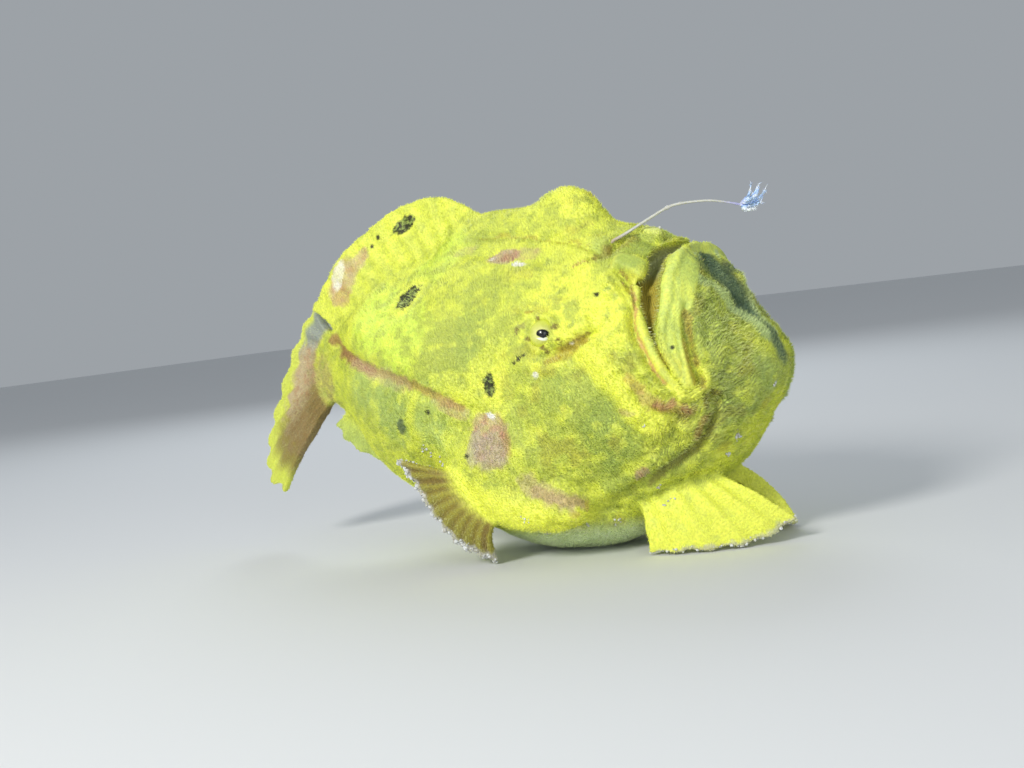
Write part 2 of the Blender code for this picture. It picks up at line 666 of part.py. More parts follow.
def main():
    clear_scene()
    fish = new_collection("frogfish")
    helpers = new_collection("cutters", hidden=True)
    skin = material("skin", SKIN_COLOUR, 0.75)
    web = material("fin_web", FIN_COLOUR, 0.7)
    iris = material("eye", EYE_COLOUR, 0.2)
    cord = material("rod", ROD_COLOUR, 0.6)
    white = material("tuft", TUFT_COLOUR, 0.6)

    body = make_body(helpers)
    clearance = swollen(body, "clearance", GAP, helpers)
    nodes = part_body(body, helpers, fish, skin)
    make_eyes(fish, iris)

    arms = {}
    for side, hand in ((1, "left"), (-1, "right")):
        arm = make_arm(side, "pectoral_arm_" + hand, helpers, fish, skin)
        arms[hand] = swollen(arm, "arm_clearance_" + hand, GAP, helpers)
        keep_largest(boolean(arm, clearance, "DIFFERENCE"))
        nodes[arm.name] = arm
    for name, plan in FINS.items():
        fin = make_fin(name, plan, fish, web)
        boolean(fin, clearance, "DIFFERENCE")
        if name.startswith("pectoral"):
            boolean(fin, arms[name.split("_")[-1]], "DIFFERENCE")
        nodes[name] = keep_largest(fin)
    rod = make_rod(helpers, fish, cord)
    nodes["illicium"] = keep_largest(boolean(rod, clearance, "DIFFERENCE"))
    make_tuft(helpers, fish, white)

    ground = half_space((0, 0, FLOOR), (0, 0, -1), 0, helpers)
    for name, node in nodes.items():
        if min(v.co.z for v in node.data.vertices) < FLOOR * MM:
            keep_largest(boolean(node, ground, "DIFFERENCE"))
    for obj in list(helpers.objects):
        bpy.data.objects.remove(obj, do_unlink=True)
    stand = bpy.data.objects.new("stand", None)
    fish.objects.link(stand)
    stand.location = (0, 0, -FLOOR * MM)
    for obj in fish.objects:
        if obj == stand:
            continue
        obj.parent = stand
        obj.data.shade_smooth()
        obj.data.set_sharp_from_angle(angle=math.radians(40))


main()
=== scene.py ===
"""The looks of a longlure frogfish: a velvety yellow skin with its fins, folds, spots, mouth, eyes and lure.

The fish faces +X, its left side is +Y and +Z is up. Shapes are drawn in millimetres with the floor at FLOOR, as the
solids are, and they are lowered and turned into metres where a mesh is made. Points given for one side stand for
both. The skin lies COAT inside the solids, and the spinules of the coat reach out to them.
"""

import math

import bpy
import numpy as np
from mathutils import Matrix, Vector
from mathutils.bvhtree import BVHTree
from mathutils.kdtree import KDTree


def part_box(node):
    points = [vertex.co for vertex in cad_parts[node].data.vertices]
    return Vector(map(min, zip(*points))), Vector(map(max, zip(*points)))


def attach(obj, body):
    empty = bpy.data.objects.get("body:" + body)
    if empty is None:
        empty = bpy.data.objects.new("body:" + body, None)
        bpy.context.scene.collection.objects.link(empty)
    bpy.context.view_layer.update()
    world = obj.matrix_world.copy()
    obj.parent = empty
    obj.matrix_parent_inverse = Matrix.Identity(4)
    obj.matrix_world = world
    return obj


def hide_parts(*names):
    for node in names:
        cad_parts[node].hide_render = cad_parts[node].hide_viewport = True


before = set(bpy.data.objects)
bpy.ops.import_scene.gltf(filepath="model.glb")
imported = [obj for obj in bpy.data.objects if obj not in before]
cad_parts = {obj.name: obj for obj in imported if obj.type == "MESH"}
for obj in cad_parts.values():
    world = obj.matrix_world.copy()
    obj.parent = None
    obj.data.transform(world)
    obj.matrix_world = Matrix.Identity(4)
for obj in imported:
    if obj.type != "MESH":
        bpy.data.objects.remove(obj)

# Driving sizes, in millimetres, as the solids have them
MM = 0.001
FLOOR = 2.4
COAT = 0.35
BODY_CENTRE = (2.0, 0.0, 32.0)
BLEND = 2.0
BODY_LEVELS = 8
VOXEL = 0.30
BEND_START = -42.0
BEND_LENGTH = 10.0
BEND_DEGREES = 8.0

MASSES = {
    "trunk": ((-9, 0, 32), (33, 21, 24.5), 0),
    "belly": ((4, 0, 21), (24, 18.5, 19), 0),
    "rear_dome": ((-27, 0, 37.5), (19.5, 13, 18), 0),
    "stalk": ((-45, 0, 37.8), (11.5, 4.4, 9.2), 0),
    "head": ((14, 0, 33), (25, 20, 22.5), 0),
    "nape": ((0, 0, 46), (17, 12, 12), 0),
    "spine_ridge": ((-9, 0, 55), (13, 5.5, 9), 3),
    "snout": ((18.5, 0, 47.4), (9.3, 10, 8.1), 25),
    "snout_ridge": ((16.5, 0, 51.3), (7.4, 4, 5), -8),
    "throat": ((24.3, 0, 25), (14.4, 13.5, 11.5), 0),
    "chin": ((32, 0, 32.1), (12.7, 13.6, 9.4), 0),
    "jaw_arch": ((28.1, 0, 45.4), (8.4, 10.7, 7.3), 25),
    "hump": ((6.3, 0, 57.1), (7.8, 4.2, 9), -18),
}
MASS_PAIRS = {
    "cheek": ((19, 12, 31), (12, 8, 14), 0),
    "shoulder": ((-3, 15, 18), (11, 7, 9), 0),
}
ARM_CENTRE = (2.5, 18.5, 13.8)
ARM_MASSES = {
    "shoulder": ((7, 16.2, 12.6), (8, 4.8, 4.6), -12),
    "elbow": ((-2, 19, 15.2), (8.2, 3.2, 4.4), -38),
}
ARM_LEVELS = 5

# The mouth's slit from the middle of the snout to the corner: place, half width and depth
MOUTH_LINE = (
    ((29.7, 0, 53.4), 0.6, 2.8),
    ((29.6, 2.7, 53.0), 1.0, 3.4),
    ((29.0, 5.9, 52.2), 1.6, 4.6),
    ((28.6, 8.6, 50.8), 1.75, 5.2),
    ((28.6, 10.7, 49.0), 1.85, 5.2),
    ((28.8, 12.0, 47.4), 2.05, 4.8),
    ((29.1, 13.4, 44.7), 1.95, 4.2),
    ((29.3, 14.6, 42.2), 1.5, 3.3),
    ((29.6, 15.5, 39.8), 0.9, 2.8),
    ((30.1, 16.0, 37.7), 0.5, 2.0),
    ((30.9, 16.1, 35.6), 0.35, 1.4),
    ((31.9, 15.8, 33.6), 0.3, 1.0),
    ((32.8, 15.4, 31.6), 0.3, 0.8),
    ((33.6, 14.7, 29.8), 0.3, 0.7),
)

# Each fin: root and tip lines, rays, root and tip thickness, bow of the sheet, and the notch between rays
FINS = {
    "dorsal_fin": {
        "root": ((-12, 0, 55), (-24, 0, 50), (-45, 0, 41.5)),
        "tips": ((-10, 0, 63), (-20.5, 0.5, 68), (-31.5, 0.8, 67.4), (-40, 0.5, 63.8), (-48, 0, 59), (-56, -0.5, 50.5)),
        "rays": 12, "thickness": (8.0, 1.1), "bow": (0, 0.6, 0), "notch": 0.0, "relief": 0.03,
    },
    "anal_fin": {
        "root": ((-24, 0, 23), (-34, 0, 26.5), (-43.5, 0, 32.5)),
        "tips": ((-28, -1, 15.8), (-35, -1.2, 17.2), (-42, -1.4, 19.6), (-48.6, -1.6, 23), (-52.2, -1.6, 27.2)),
        "rays": 7, "thickness": (6.0, 1.1), "bow": (0, -0.6, 0), "notch": 0.03, "relief": 0.05,
    },
    "caudal_fin": {
        "root": ((-50.5, 0, 44.5), (-52, 0, 39), (-51.5, 0, 33.5)),
        "tips": ((-60, 4.3, 52), (-66, 4.6, 47), (-71.6, 4.6, 40.5), (-75.6, 3.6, 33), (-78, 2.2, 26.5),
                 (-78.8, 0.8, 20.5), (-77, -0.4, 15.8), (-72, -1, 13.6)),
        "rays": 9, "thickness": (3.6, 1.0), "bow": (0, -1.5, 0), "notch": 0.04,
    },
    "pectoral_fin_right": {
        "root": ((-6.5, -19.5, 18.5), (-5, -19.6, 15), (-1.5, -18.8, 11.5)),
        "tips": ((-21.8, -20.5, 21.8), (-18.4, -20, 17.2), (-16, -19.5, 12.4), (-13, -19, 8), (-9.4, -18, 5),
                 (-5, -17, 2.9)),
        "rays": 10, "thickness": (3.0, 0.9), "bow": (0, -2.4, 0.6), "notch": 0.06, "relief": 0.05, "web": 0.86,
    },
    "pectoral_fin_left": {
        "root": ((-6.5, 19.5, 18.5), (-5, 19.6, 15), (-1.5, 18.8, 11.5)),
        "tips": ((-21, 22.5, 19), (-19.4, 24.5, 12.6), (-16, 25.6, 7.4), (-11.5, 26, 3.8), (-6.5, 25.2, 2.9),
                 (-1.5, 23, 2.9)),
        "rays": 10, "thickness": (3.0, 0.9), "bow": (0, 1.8, 1.0), "notch": 0.06, "relief": 0.05, "web": 0.86,
    },
    "pelvic_fin_right": {
        "root": ((18, -7.5, 14.5), (23, -6.5, 15.5), (27.5, -3.5, 15.5)),
        "tips": ((21.5, -10.2, 2.9), (27.5, -9.4, 2.9), (33.5, -6.4, 2.9), (38.8, -2.4, 3.6), (42.8, 1.5, 6)),
        "rays": 6, "thickness": (6.0, 1.1), "bow": (1.2, -1.0, 0.8), "notch": 0.02, "relief": 0.04,
    },
    "pelvic_fin_left": {
        "root": ((18.5, 9.5, 15), (22.5, 8.5, 15.5), (26, 6, 15.5)),
        "tips": ((19.5, 19.5, 2.9), (25.5, 20.5, 2.9), (31, 19, 2.9), (35.5, 15.8, 2.9), (38, 11.5, 3.4)),
        "rays": 6, "thickness": (6.0, 1.1), "bow": (1.2, 1.0, 0.8), "notch": 0.02, "relief": 0.04,
    },
}
FIN_NAMES = list(FINS)
STEPS_PER_RAY = 6
FIN_ROWS = 28
MEMBRANE_SHARE = 0.6
LEAST_THICKNESS = 0.6

# Folds and ridges in the skin: points on one side, half width, height at both ends, and how flat the top is
STROKES = {
    "upper_lip_lobe": (((22.9, 10.8, 51.2), (24.6, 10.6, 50.7), (26.4, 11.1, 49.5)), 1.7, (1.0, 1.1), 6),
    "upper_lip": (
        ((26.7, 13.4, 46.4), (27.6, 14.4, 44.2), (27.8, 15.8, 41.6), (28.3, 16.6, 39.4), (29.1, 16.8, 37.4),
         (30.3, 16.8, 34.4), (31.7, 16.1, 31.7), (33, 15, 29.6)),
        1.0, (0.8, 0.9), 5,
    ),
    "upper_lip_middle": (((25.8, 0, 55.6), (26, 3, 55.1), (26.2, 5.6, 54.3)), 2.0, (-0.5, -0.4), 3),
    "lip_fold": (
        ((22.4, 11.8, 50.2), (24, 12.7, 48.7), (25.5, 13.7, 46.7), (26.7, 14.7, 44.6), (26.9, 16.2, 41.7),
         (27.3, 17.1, 39.7), (28.2, 17.2, 38), (29.5, 17.2, 34.7), (31.2, 16.4, 31.3), (32, 15.7, 29.7)),
        0.5, (-1.2, -1.0), 2,
    ),
    "lip_fold_edge": (
        ((21, 13.5, 48.6), (22.8, 14.6, 46.6), (24.7, 15.6, 44.4), (25.5, 17, 41.6), (25.9, 18, 39.4), (26.8, 18.2, 37.6),
         (28.2, 18.2, 34.4), (30, 17.4, 31)),
        0.9, (0.5, 0.9), 2,
    ),
    "lower_lip_rim": (
        ((31.3, 0, 52.9), (31.6, 4, 51.9), (31.6, 6.1, 51), (31.7, 8.4, 49.7), (31.4, 10.5, 48.4), (31, 11.8, 47), (31, 12.9, 45.2),
         (30.7, 14.6, 41.5), (30.9, 15.8, 37.4), (31.9, 15.8, 34.7), (33, 15.4, 32.4)),
        0.7, (0.8, 0.5), 3,
    ),
    "lower_lip_band": (
        ((31.5, 11, 46.2), (31.7, 12.4, 42.6), (32, 13.8, 39.4), (32.5, 14.6, 36.8), (33.2, 14.8, 34.3), (34.1, 14.6, 31.7)),
        1.75, (0.3, 0.7), 5,
    ),
    "jaw_bulge_right": (((32.5, 7.9, 49.4), (32.8, 8.9, 48), (32.9, 9.9, 46.2), (32.9, 11, 44)), 2.7, (1.3, 0.7), 5),
    "lower_lip_line": (
        ((32.4, 12, 42.6), (32.8, 13.3, 39.4), (33.3, 14.2, 36.8), (34, 14.4, 34)),
        0.35, (-0.1, -0.4), 2,
    ),
    "lower_lip_crease": (
        ((33.4, 10.6, 42.6), (33.7, 12, 39.7), (34.4, 13, 37.1), (35, 13.7, 34.6), (35.6, 13.7, 32),
         (36, 13.4, 30.4)),
        0.6, (-0.6, -1.9), 2,
    ),
    "second_fold": (((35, 9.2, 43), (35.3, 10.6, 40.6), (36, 12.2, 37.2), (36.6, 12.8, 34.6)),
                    0.9, (0.5, 0.9), 2),
    "front_ridge_right": (((31.6, 5.2, 51.6), (32.6, 4.4, 51), (33.6, 3.6, 50.2)), 0.6, (0.7, 0.5), 2),
    "front_dip": (((33.2, 0.6, 51.8), (34, 2.4, 50.4), (35.2, 3, 48.2)), 2.4, (-1.5, -1.0), 2),
    "dish_crest": (
        ((35.6, 7.4, 47), (36.5, 4.9, 45.4), (37.7, 3.7, 42.8), (38.9, 2.2, 40.9), (40.3, 1.3, 39.4), (42.7, 0.6, 36.7)),
        0.8, (0.5, 0.6), 2,
    ),
    "dish": (((35.3, 0, 49.4), (36.7, 0, 46), (37.9, 0, 43), (39.2, 0, 40.6)), 2.4, (-0.9, -0.3), 2),
    "jaw_bone": (((37.6, 8.8, 41), (38, 10, 38), (38.6, 10.8, 34.5)), 1.6, (0.4, 0.5), 2),
    "corner_knot": (((28.9, 18, 28.9), (30, 17.8, 28.1), (31.3, 16.9, 27.4), (32.1, 15.6, 27.6)), 0.75, (0.9, 1.1), 2),
    "corner_knot_front": (((33.3, 15, 27), (34.2, 14.1, 26.4)), 0.8, (1.1, 1.0), 2),
    "corner_rim": (((30.7, 16.8, 30.2), (33.4, 14.8, 28.8), (36, 13.2, 29.5), (37, 12.9, 31.3)), 0.7, (0.6, 0.8), 2),
    "corner_pit": (((36.8, 12.5, 28.6), (37, 11.8, 27)), 0.9, (-1.4, -1.2), 2),
    "corner_fold": (
        ((37.8, 10.6, 27.6), (36.6, 10.6, 25.3), (34.1, 10.7, 21.9), (31.5, 11.2, 19.5), (28.5, 12.1, 17.8), (23.4, 13.2, 14.8),
         (17, 13.4, 12)),
        0.9, (-1.2, -1.0), 2,
    ),
    "corner_fold_lip": (
        ((35, 12.4, 25.6), (32.4, 12.8, 22.6), (29.6, 13.4, 20.3), (26.4, 14.2, 18.8), (22, 15, 16.6), (16.6, 15.2, 13.4)),
        1.1, (0.6, 0.7), 2,
    ),
    "jowl": (((36.9, 9.4, 21.6), (33.4, 10.2, 18.2), (29, 11.2, 15.4), (24, 12, 13)), 1.6, (0.7, 0.6), 2),
    "jowl_fold": (((38, 8, 19.6), (34.4, 9, 15.6), (30, 10, 12.6), (24, 10.6, 10.2)), 0.9, (-0.9, -0.8), 2),
    "cheek_band": (
        ((15.6, 20.8, 41.2), (19.6, 20.8, 38.6), (22.4, 20.7, 36), (24.4, 20.2, 32), (26.4, 19.2, 28.2), (29.4, 17.2, 24.6)),
        1.7, (0.5, 1.0), 2,
    ),
    "cheek_hollow": (((17.4, 21, 36.6), (20.4, 21, 32), (23.2, 20, 27)), 2.0, (-0.5, -0.5), 2),
    "nostril_crease": (((12.5, 20.3, 36.9), (15, 20.3, 38), (17.8, 20.1, 38.7), (19.7, 19.6, 39.8), (20.8, 19, 40.5)),
                       0.9, (-0.6, -1.5), 2),
    "nostril_fold": (((14.4, 20.6, 39.9), (17, 20, 41), (19.4, 19.2, 42.4)), 1.0, (0.7, 0.7), 2),
    "nostril_bump": (((18.2, 20, 38.8), (18.6, 20, 39)), 0.5, (0.9, 0.9), 2),
    "front_nostril": (((22.2, 15.0, 46.7), (22.7, 14.9, 46.6)), 0.95, (1.0, 1.0), 2),
    "front_nostril_pit": (((22.4, 15.2, 46.6), (22.5, 15.2, 46.6)), 0.4, (-1.2, -1.2), 2),
    "lure_groove": (((17.4, 11.1, 52.2), (18.6, 10.4, 52.6), (19.9, 9.6, 53.2), (20.4, 8.4, 54.1), (21.2, 6.8, 55)),
                    0.75, (-1.4, -1.6), 2),
    "lure_web": (((18.4, 8.4, 54.4), (19.8, 7.2, 55.3), (21.4, 5.6, 56.2)), 0.7, (0.7, 0.7), 2),
    "snout_knob_right": (((25.0, 3.9, 56.3), (26.1, 3.9, 55.6)), 1.4, (1.5, 1.9), 6),
    "hump_crease": (
        ((-8.8, 5.2, 59.4), (-1.9, 5.8, 58.7), (4.7, 6.3, 57.5), (10.8, 6.5, 56.2), (15.6, 8.2, 54.7), (18.3, 9.7, 53.4)),
        0.9, (-0.8, -0.9), 2,
    ),
    "back_fold": (((-10, 8.5, 57), (-4, 9.6, 56), (2, 10.6, 54.6), (8, 10.6, 53.6)), 1.4, (-0.6, -0.5), 2),
    "nape_fold": (((4, 13.5, 51.5), (9, 13.6, 50.8), (14, 12.8, 50.6), (17, 11.8, 51.2)), 1.8, (0.5, 0.6), 2),
    "eye_pouch": (((5.4, 19.6, 38.6), (7.6, 20.6, 36.6), (11.4, 21, 35.6), (15, 21, 35.8)), 1.3, (0.4, 0.5), 2),
    "eye_fold": (((6.6, 17.8, 45.6), (10.2, 17.2, 46.8), (14.4, 17.2, 46)), 1.1, (0.5, 0.4), 2),
    "flank_crease": (
        ((-48, 3.8, 43), (-37, 11, 40.5), (-27, 17.1, 37.5), (-12.1, 21, 32.8), (-2, 21.3, 28.8)),
        1.3, (-1.2, -0.4), 2,
    ),
    "flank_swell": (((-44, 6.5, 47), (-34, 11.5, 46), (-24, 16.2, 43.4), (-13, 19.6, 38.6)), 3.2, (0.6, 0.5), 2),
    "low_flank": (((-34, 12, 32), (-24, 17, 29), (-13, 20, 25)), 2.4, (0.3, 0.3), 2),
    "gill_fold": (((-6.5, 21.5, 21.5), (-2, 21.8, 25), (3, 21.6, 25.2), (6, 21, 21)), 1.2, (0.35, 0.35), 2),
    "belly_fold": (((9, 17.4, 11.4), (14, 15.6, 9.6), (20, 12.4, 8.4)), 1.0, (-0.9, -0.8), 2),
}

# The warty skin between cheek and mouth runs along this line
ROUGH_LINE = ((21, 16, 45), (24, 18, 40), (27, 18, 34), (29.5, 16.8, 28.5), (32, 14, 24.5), (30, 13.5, 20))

# Eyes: the place on the skin, the way the eye looks, and its sizes
EYE_PLACE = (11.1, 19.3, 41.3)
EYE_LOOK = (0.08, 0.95, 0.3)
EYE_RADIUS = 2.4
EYE_SUNK = 0.95
LID_RADIUS = 2.75
LID_HALF_WIDTH = 0.75
LID_HEIGHT = 0.75
SOCKET_RADIUS = 2.2
SOCKET_DEPTH = 2.0
PUPIL_LOOK = (0.5, 0.86, 0.06)

# The lure, as the solids have it
ROD_LINE = (
    (17.8, -7.4, 53.2), (19.6, -7.7, 54.8), (21, -7, 55.5), (22.7, -6.4, 56.3), (25.9, -5.2, 57.9), (28.6, -4, 59.2),
    (30.8, -3.3, 59.6), (34.8, -2, 59.5), (37.2, -1, 59), (40, 0, 58.1),
)
ROD_RADII = (0.30, 0.16)
ROD_NODULES = ((0.545, 0.3), (0.56, 0.38), (0.58, 0.28), (0.667, 0.3), (0.97, 0.24))

# Colours, linear RGB
BRIGHT = (0.84, 0.88, 0.10)
ACID = (0.70, 0.86, 0.11)
LEMON = (0.68, 0.74, 0.09)
OLIVE = (0.34, 0.44, 0.08)
MOTTLE = (0.48, 0.55, 0.08)
DEEP_OLIVE = (0.14, 0.21, 0.05)
# Painted shade: dark green for the front of the chin, which faces away from the light
PAINTED_SHADE_GREEN = (0.12, 0.20, 0.11)
PALE_GREEN = (0.42, 0.54, 0.14)
# Pale underside: partly the belly's own colour, partly painted bounce light from the floor
PALE_BELLY_AND_BOUNCE = (0.80, 0.92, 0.60)
# Pale hair tips along ridge crests, partly a painted highlight on them
PALE_CREST_AND_HIGHLIGHT = (0.50, 0.62, 0.26)
# Painted shade: brown for the skin's creases and grooves
CREASE_SHADE_BROWN = (0.30, 0.23, 0.03)
LIP = (0.76, 0.78, 0.11)
LOWER_LIP = (0.62, 0.72, 0.14)
OCHRE = (0.46, 0.33, 0.03)
PINK = (0.53, 0.38, 0.27)
WHITE = (0.86, 0.84, 0.80)
RED_BROWN = (0.44, 0.19, 0.09)
CORAL = (0.62, 0.33, 0.12)
ROSE = (0.56, 0.22, 0.17)
RUST = (0.45, 0.26, 0.08)
BROWN = (0.17, 0.10, 0.02)
BLACK = (0.006, 0.008, 0.004)
GREY_GREEN = (0.10, 0.15, 0.07)
CAVITY = (0.46, 0.36, 0.05)
# The pectoral webs' own brown, together with painted shade from the body above them
WEB_BROWN_AND_SHADE = (0.24, 0.185, 0.02)
# Painted shade: brown for the tail where the body shades it
TAIL_SHADE_BROWN = (0.24, 0.16, 0.04)
CRUST = (0.52, 0.50, 0.42)
SILT = (0.66, 0.68, 0.68)

SEED = 11


def smooth_line(points, count):
    """Points along a smooth curve through the given ones, spread evenly by control interval."""
    knots = np.array(points, float)
    knots = np.vstack([2 * knots[0] - knots[1], knots, 2 * knots[-1] - knots[-2]])
    spans = len(knots) - 3
    along = np.linspace(0, spans, count)
    first = np.minimum(along.astype(int), spans - 1)
    t = (along - first)[:, None]
    a, b, c, d = (knots[first + k] for k in range(4))
    return 0.5 * (2 * b + (c - a) * t + (2 * a - 5 * b + 4 * c - d) * t**2 + (3 * b - a - 3 * c + d) * t**3)


def between(ends, share):
    return ends[0] + (ends[1] - ends[0]) * share


def unit(vectors):
    return vectors / np.maximum(np.linalg.norm(vectors, axis=-1, keepdims=True), 1e-9)


def step(low, high, value):
    """A smooth step from 0 at low to 1 at high."""
    t = np.clip((value - low) / (high - low), 0, 1)
    return t * t * (3 - 2 * t)


def mix(colours, colour, share):
    share = np.clip(share, 0, 1)[:, None]
    return colours * (1 - share) + np.array(colour, float) * share


def lattice_noise(points, seed):
    """Smooth random values from -1 to 1 at the points, on a lattice of unit spacing."""
    cell = np.floor(points).astype(np.int64)
    inside = points - cell
    ease = inside**3 * (inside * (inside * 6 - 15) + 10)
    total = np.zeros(len(points))
    for corner in np.ndindex(2, 2, 2):
        key = (cell + np.array(corner)) @ np.array((73856093, 19349663, 83492791)) + seed * 2654435761
        key = (key ^ (key >> 15)) * 2246822519 & 0xFFFFFFFF
        key = (key ^ (key >> 13)) * 3266489917 & 0xFFFFFFFF
        value = ((key ^ (key >> 16)) & 0xFFFF) / 32767.5 - 1
        total += value * np.prod(np.where(np.array(corner) == 1, ease, 1 - ease), axis=1)
    return total


def cloud(points, size, seed, octaves=3):
    """Noise whose largest patches are about size across, with finer ones added."""
    total = np.zeros(len(points))
    strength = 0
    for k in range(octaves):
        total += lattice_noise(points * 2.0**k / size, seed + 17 * k) * 0.5**k
        strength += 0.5**k
    return total / strength


def nearest_on_line(points, line):
    """Each point's distance to the line, and how far along it, from 0 to 1, the nearest place is."""
    best = np.full(len(points), 1e9)
    where = np.zeros(len(points))
    for k in range(len(line) - 1):
        start, way = line[k], line[k + 1] - line[k]
        t = np.clip((points - start) @ way / max(way @ way, 1e-9), 0, 1)
        distance = np.linalg.norm(points - start - t[:, None] * way, axis=1)
        closer = distance < best
        best = np.where(closer, distance, best)
        where = np.where(closer, (k + t) / (len(line) - 1), where)
    return best, where


def near_line(points, line, reach):
    """The indices of the points within reach of the line, with their distances and places along it."""
    low = line.min(0) - reach
    high = line.max(0) + reach
    inside = np.flatnonzero(((points >= low) & (points <= high)).all(1))
    distance, along = nearest_on_line(points[inside], line)
    close = distance < reach
    return inside[close], distance[close], along[close]


def on_left(points):
    """The points with those of the right side mirrored to the left."""
    return points * (1, 0, 1) + np.abs(points * (0, 1, 0))


def both_sides(pairs):
    made = []
    for centre, radii, pitch in pairs.values():
        for side in (1, -1):
            made.append(((centre[0], side * centre[1], centre[2]), radii, pitch))
    return made


BODY_MASSES = [*MASSES.values(), *both_sides(MASS_PAIRS)]


def field(points, masses):
    """Roughly the distance from the smoothly joined masses, negative inside."""
    total = np.zeros(len(points))
    for centre, radii, pitch in masses:
        offset = points - np.array(centre, float)
        turn = math.radians(pitch)
        forward = np.array((math.cos(turn), 0, math.sin(turn)))
        upward = np.array((-math.sin(turn), 0, math.cos(turn)))
        local = np.stack([offset @ forward, offset[:, 1], offset @ upward], 1)
        size = np.array(radii, float)
        near = np.linalg.norm(local / size, axis=1)
        steep = np.linalg.norm(local / size**2, axis=1)
        distance = near * (near - 1) / np.maximum(steep, 1e-6)
        total += np.exp(-np.clip(distance, -20, 40) / BLEND)
    return -BLEND * np.log(total)


def bend_tail(points):
    """Turns what lies behind the bend's start to the fish's left, along an arc and then straight on."""
    total = math.radians(BEND_DEGREES)
    radius = BEND_LENGTH / total
    behind = np.maximum(BEND_START - points[:, 0], 0)
    angle = np.minimum(behind / BEND_LENGTH, 1) * total
    rest = np.maximum(behind - BEND_LENGTH, 0)
    middle_x = BEND_START - radius * np.sin(angle) - rest * np.cos(angle)
    middle_y = radius * (1 - np.cos(angle)) + rest * np.sin(angle)
    bent = np.stack(
        [middle_x + points[:, 1] * np.sin(angle), middle_y + points[:, 1] * np.cos(angle), points[:, 2]], 1
    )
    return np.where(behind[:, None] > 0, bent, points)


def new_mesh(name, points, faces, smooth=True):
    """A mesh object from points in millimetres and an array of faces that all have the same number of corners."""
    mesh = bpy.data.meshes.new(name)
    faces = np.asarray(faces, np.int32)
    sides = faces.shape[1]
    mesh.vertices.add(len(points))
    mesh.vertices.foreach_set("co", ((np.asarray(points) - (0, 0, FLOOR)) * MM).astype(np.float32).ravel())
    mesh.loops.add(faces.size)
    mesh.loops.foreach_set("vertex_index", faces.ravel())
    mesh.polygons.add(len(faces))
    mesh.polygons.foreach_set("loop_start", np.arange(0, faces.size, sides, dtype=np.int32))
    mesh.update(calc_edges=True)
    mesh.validate()
    mesh.polygons.foreach_set("use_smooth", np.full(len(mesh.polygons), smooth))
    obj = bpy.data.objects.new(name, mesh)
    bpy.context.scene.collection.objects.link(obj)
    return obj


def read_points(mesh):
    flat = np.empty(len(mesh.vertices) * 3, np.float32)
    mesh.vertices.foreach_get("co", flat)
    return flat.reshape(-1, 3).astype(float) / MM + (0, 0, FLOOR)


def write_points(mesh, points):
    mesh.vertices.foreach_set("co", ((points - (0, 0, FLOOR)) * MM).astype(np.float32).ravel())
    mesh.update()


def read_normals(mesh):
    flat = np.empty(len(mesh.vertices) * 3, np.float32)
    mesh.vertex_normals.foreach_get("vector", flat)
    return flat.reshape(-1, 3).astype(float)


def read_faces(mesh, sides):
    flat = np.empty(len(mesh.loops), np.int32)
    mesh.loops.foreach_get("vertex_index", flat)
    return flat.reshape(-1, sides)


def paint_points(mesh, colours):
    """Stores a colour for each point, which the materials read by the name paint."""
    layer = mesh.color_attributes.new("paint", "FLOAT_COLOR", "POINT")
    rgba = np.concatenate([np.clip(colours, 0, 1), np.ones((len(colours), 1))], 1)
    layer.data.foreach_set("color", rgba.astype(np.float32).ravel())


def sphere_arrays(levels):
    bpy.ops.mesh.primitive_ico_sphere_add(subdivisions=levels, radius=1)
    ball = bpy.context.active_object
    flat = np.empty(len(ball.data.vertices) * 3, np.float32)
    ball.data.vertices.foreach_get("co", flat)
    faces = read_faces(ball.data, 3)
    bpy.data.objects.remove(ball, do_unlink=True)
    return unit(flat.reshape(-1, 3).astype(float)), faces


def soft_form(centre, masses, levels, inset):
    """Points and triangles of the joined masses' surface, taken in by inset, and each point's way out."""
    directions, faces = sphere_arrays(levels)
    middle = np.array(centre, float)
    low = np.full(len(directions), 0.5)
    high = np.full(len(directions), 75.0)
    for _ in range(21):
        reach = (low + high) / 2
        inside = field(middle + directions * reach[:, None], masses) < -inset
        low = np.where(inside, reach, low)
        high = np.where(inside, high, reach)
    return middle + directions * reach[:, None], faces


def open_mouth(points):
    """Sinks the slit of the mouth into the body's points."""
    line = smooth_line([place for place, _, _ in MOUTH_LINE], 60)
    spread = np.linspace(0, 1, len(MOUTH_LINE))
    near, distance, along = near_line(on_left(points), line, 4.0)
    half_width = np.interp(along, spread, [width for _, width, _ in MOUTH_LINE])
    depth = np.interp(along, spread, [deep for _, _, deep in MOUTH_LINE])
    sunk = depth * (1 - step(half_width * 0.75, half_width * 1.25 + 0.1, distance))
    inward = unit(np.array(BODY_CENTRE) - points[near])
    points[near] += inward * sunk[:, None]
    return points


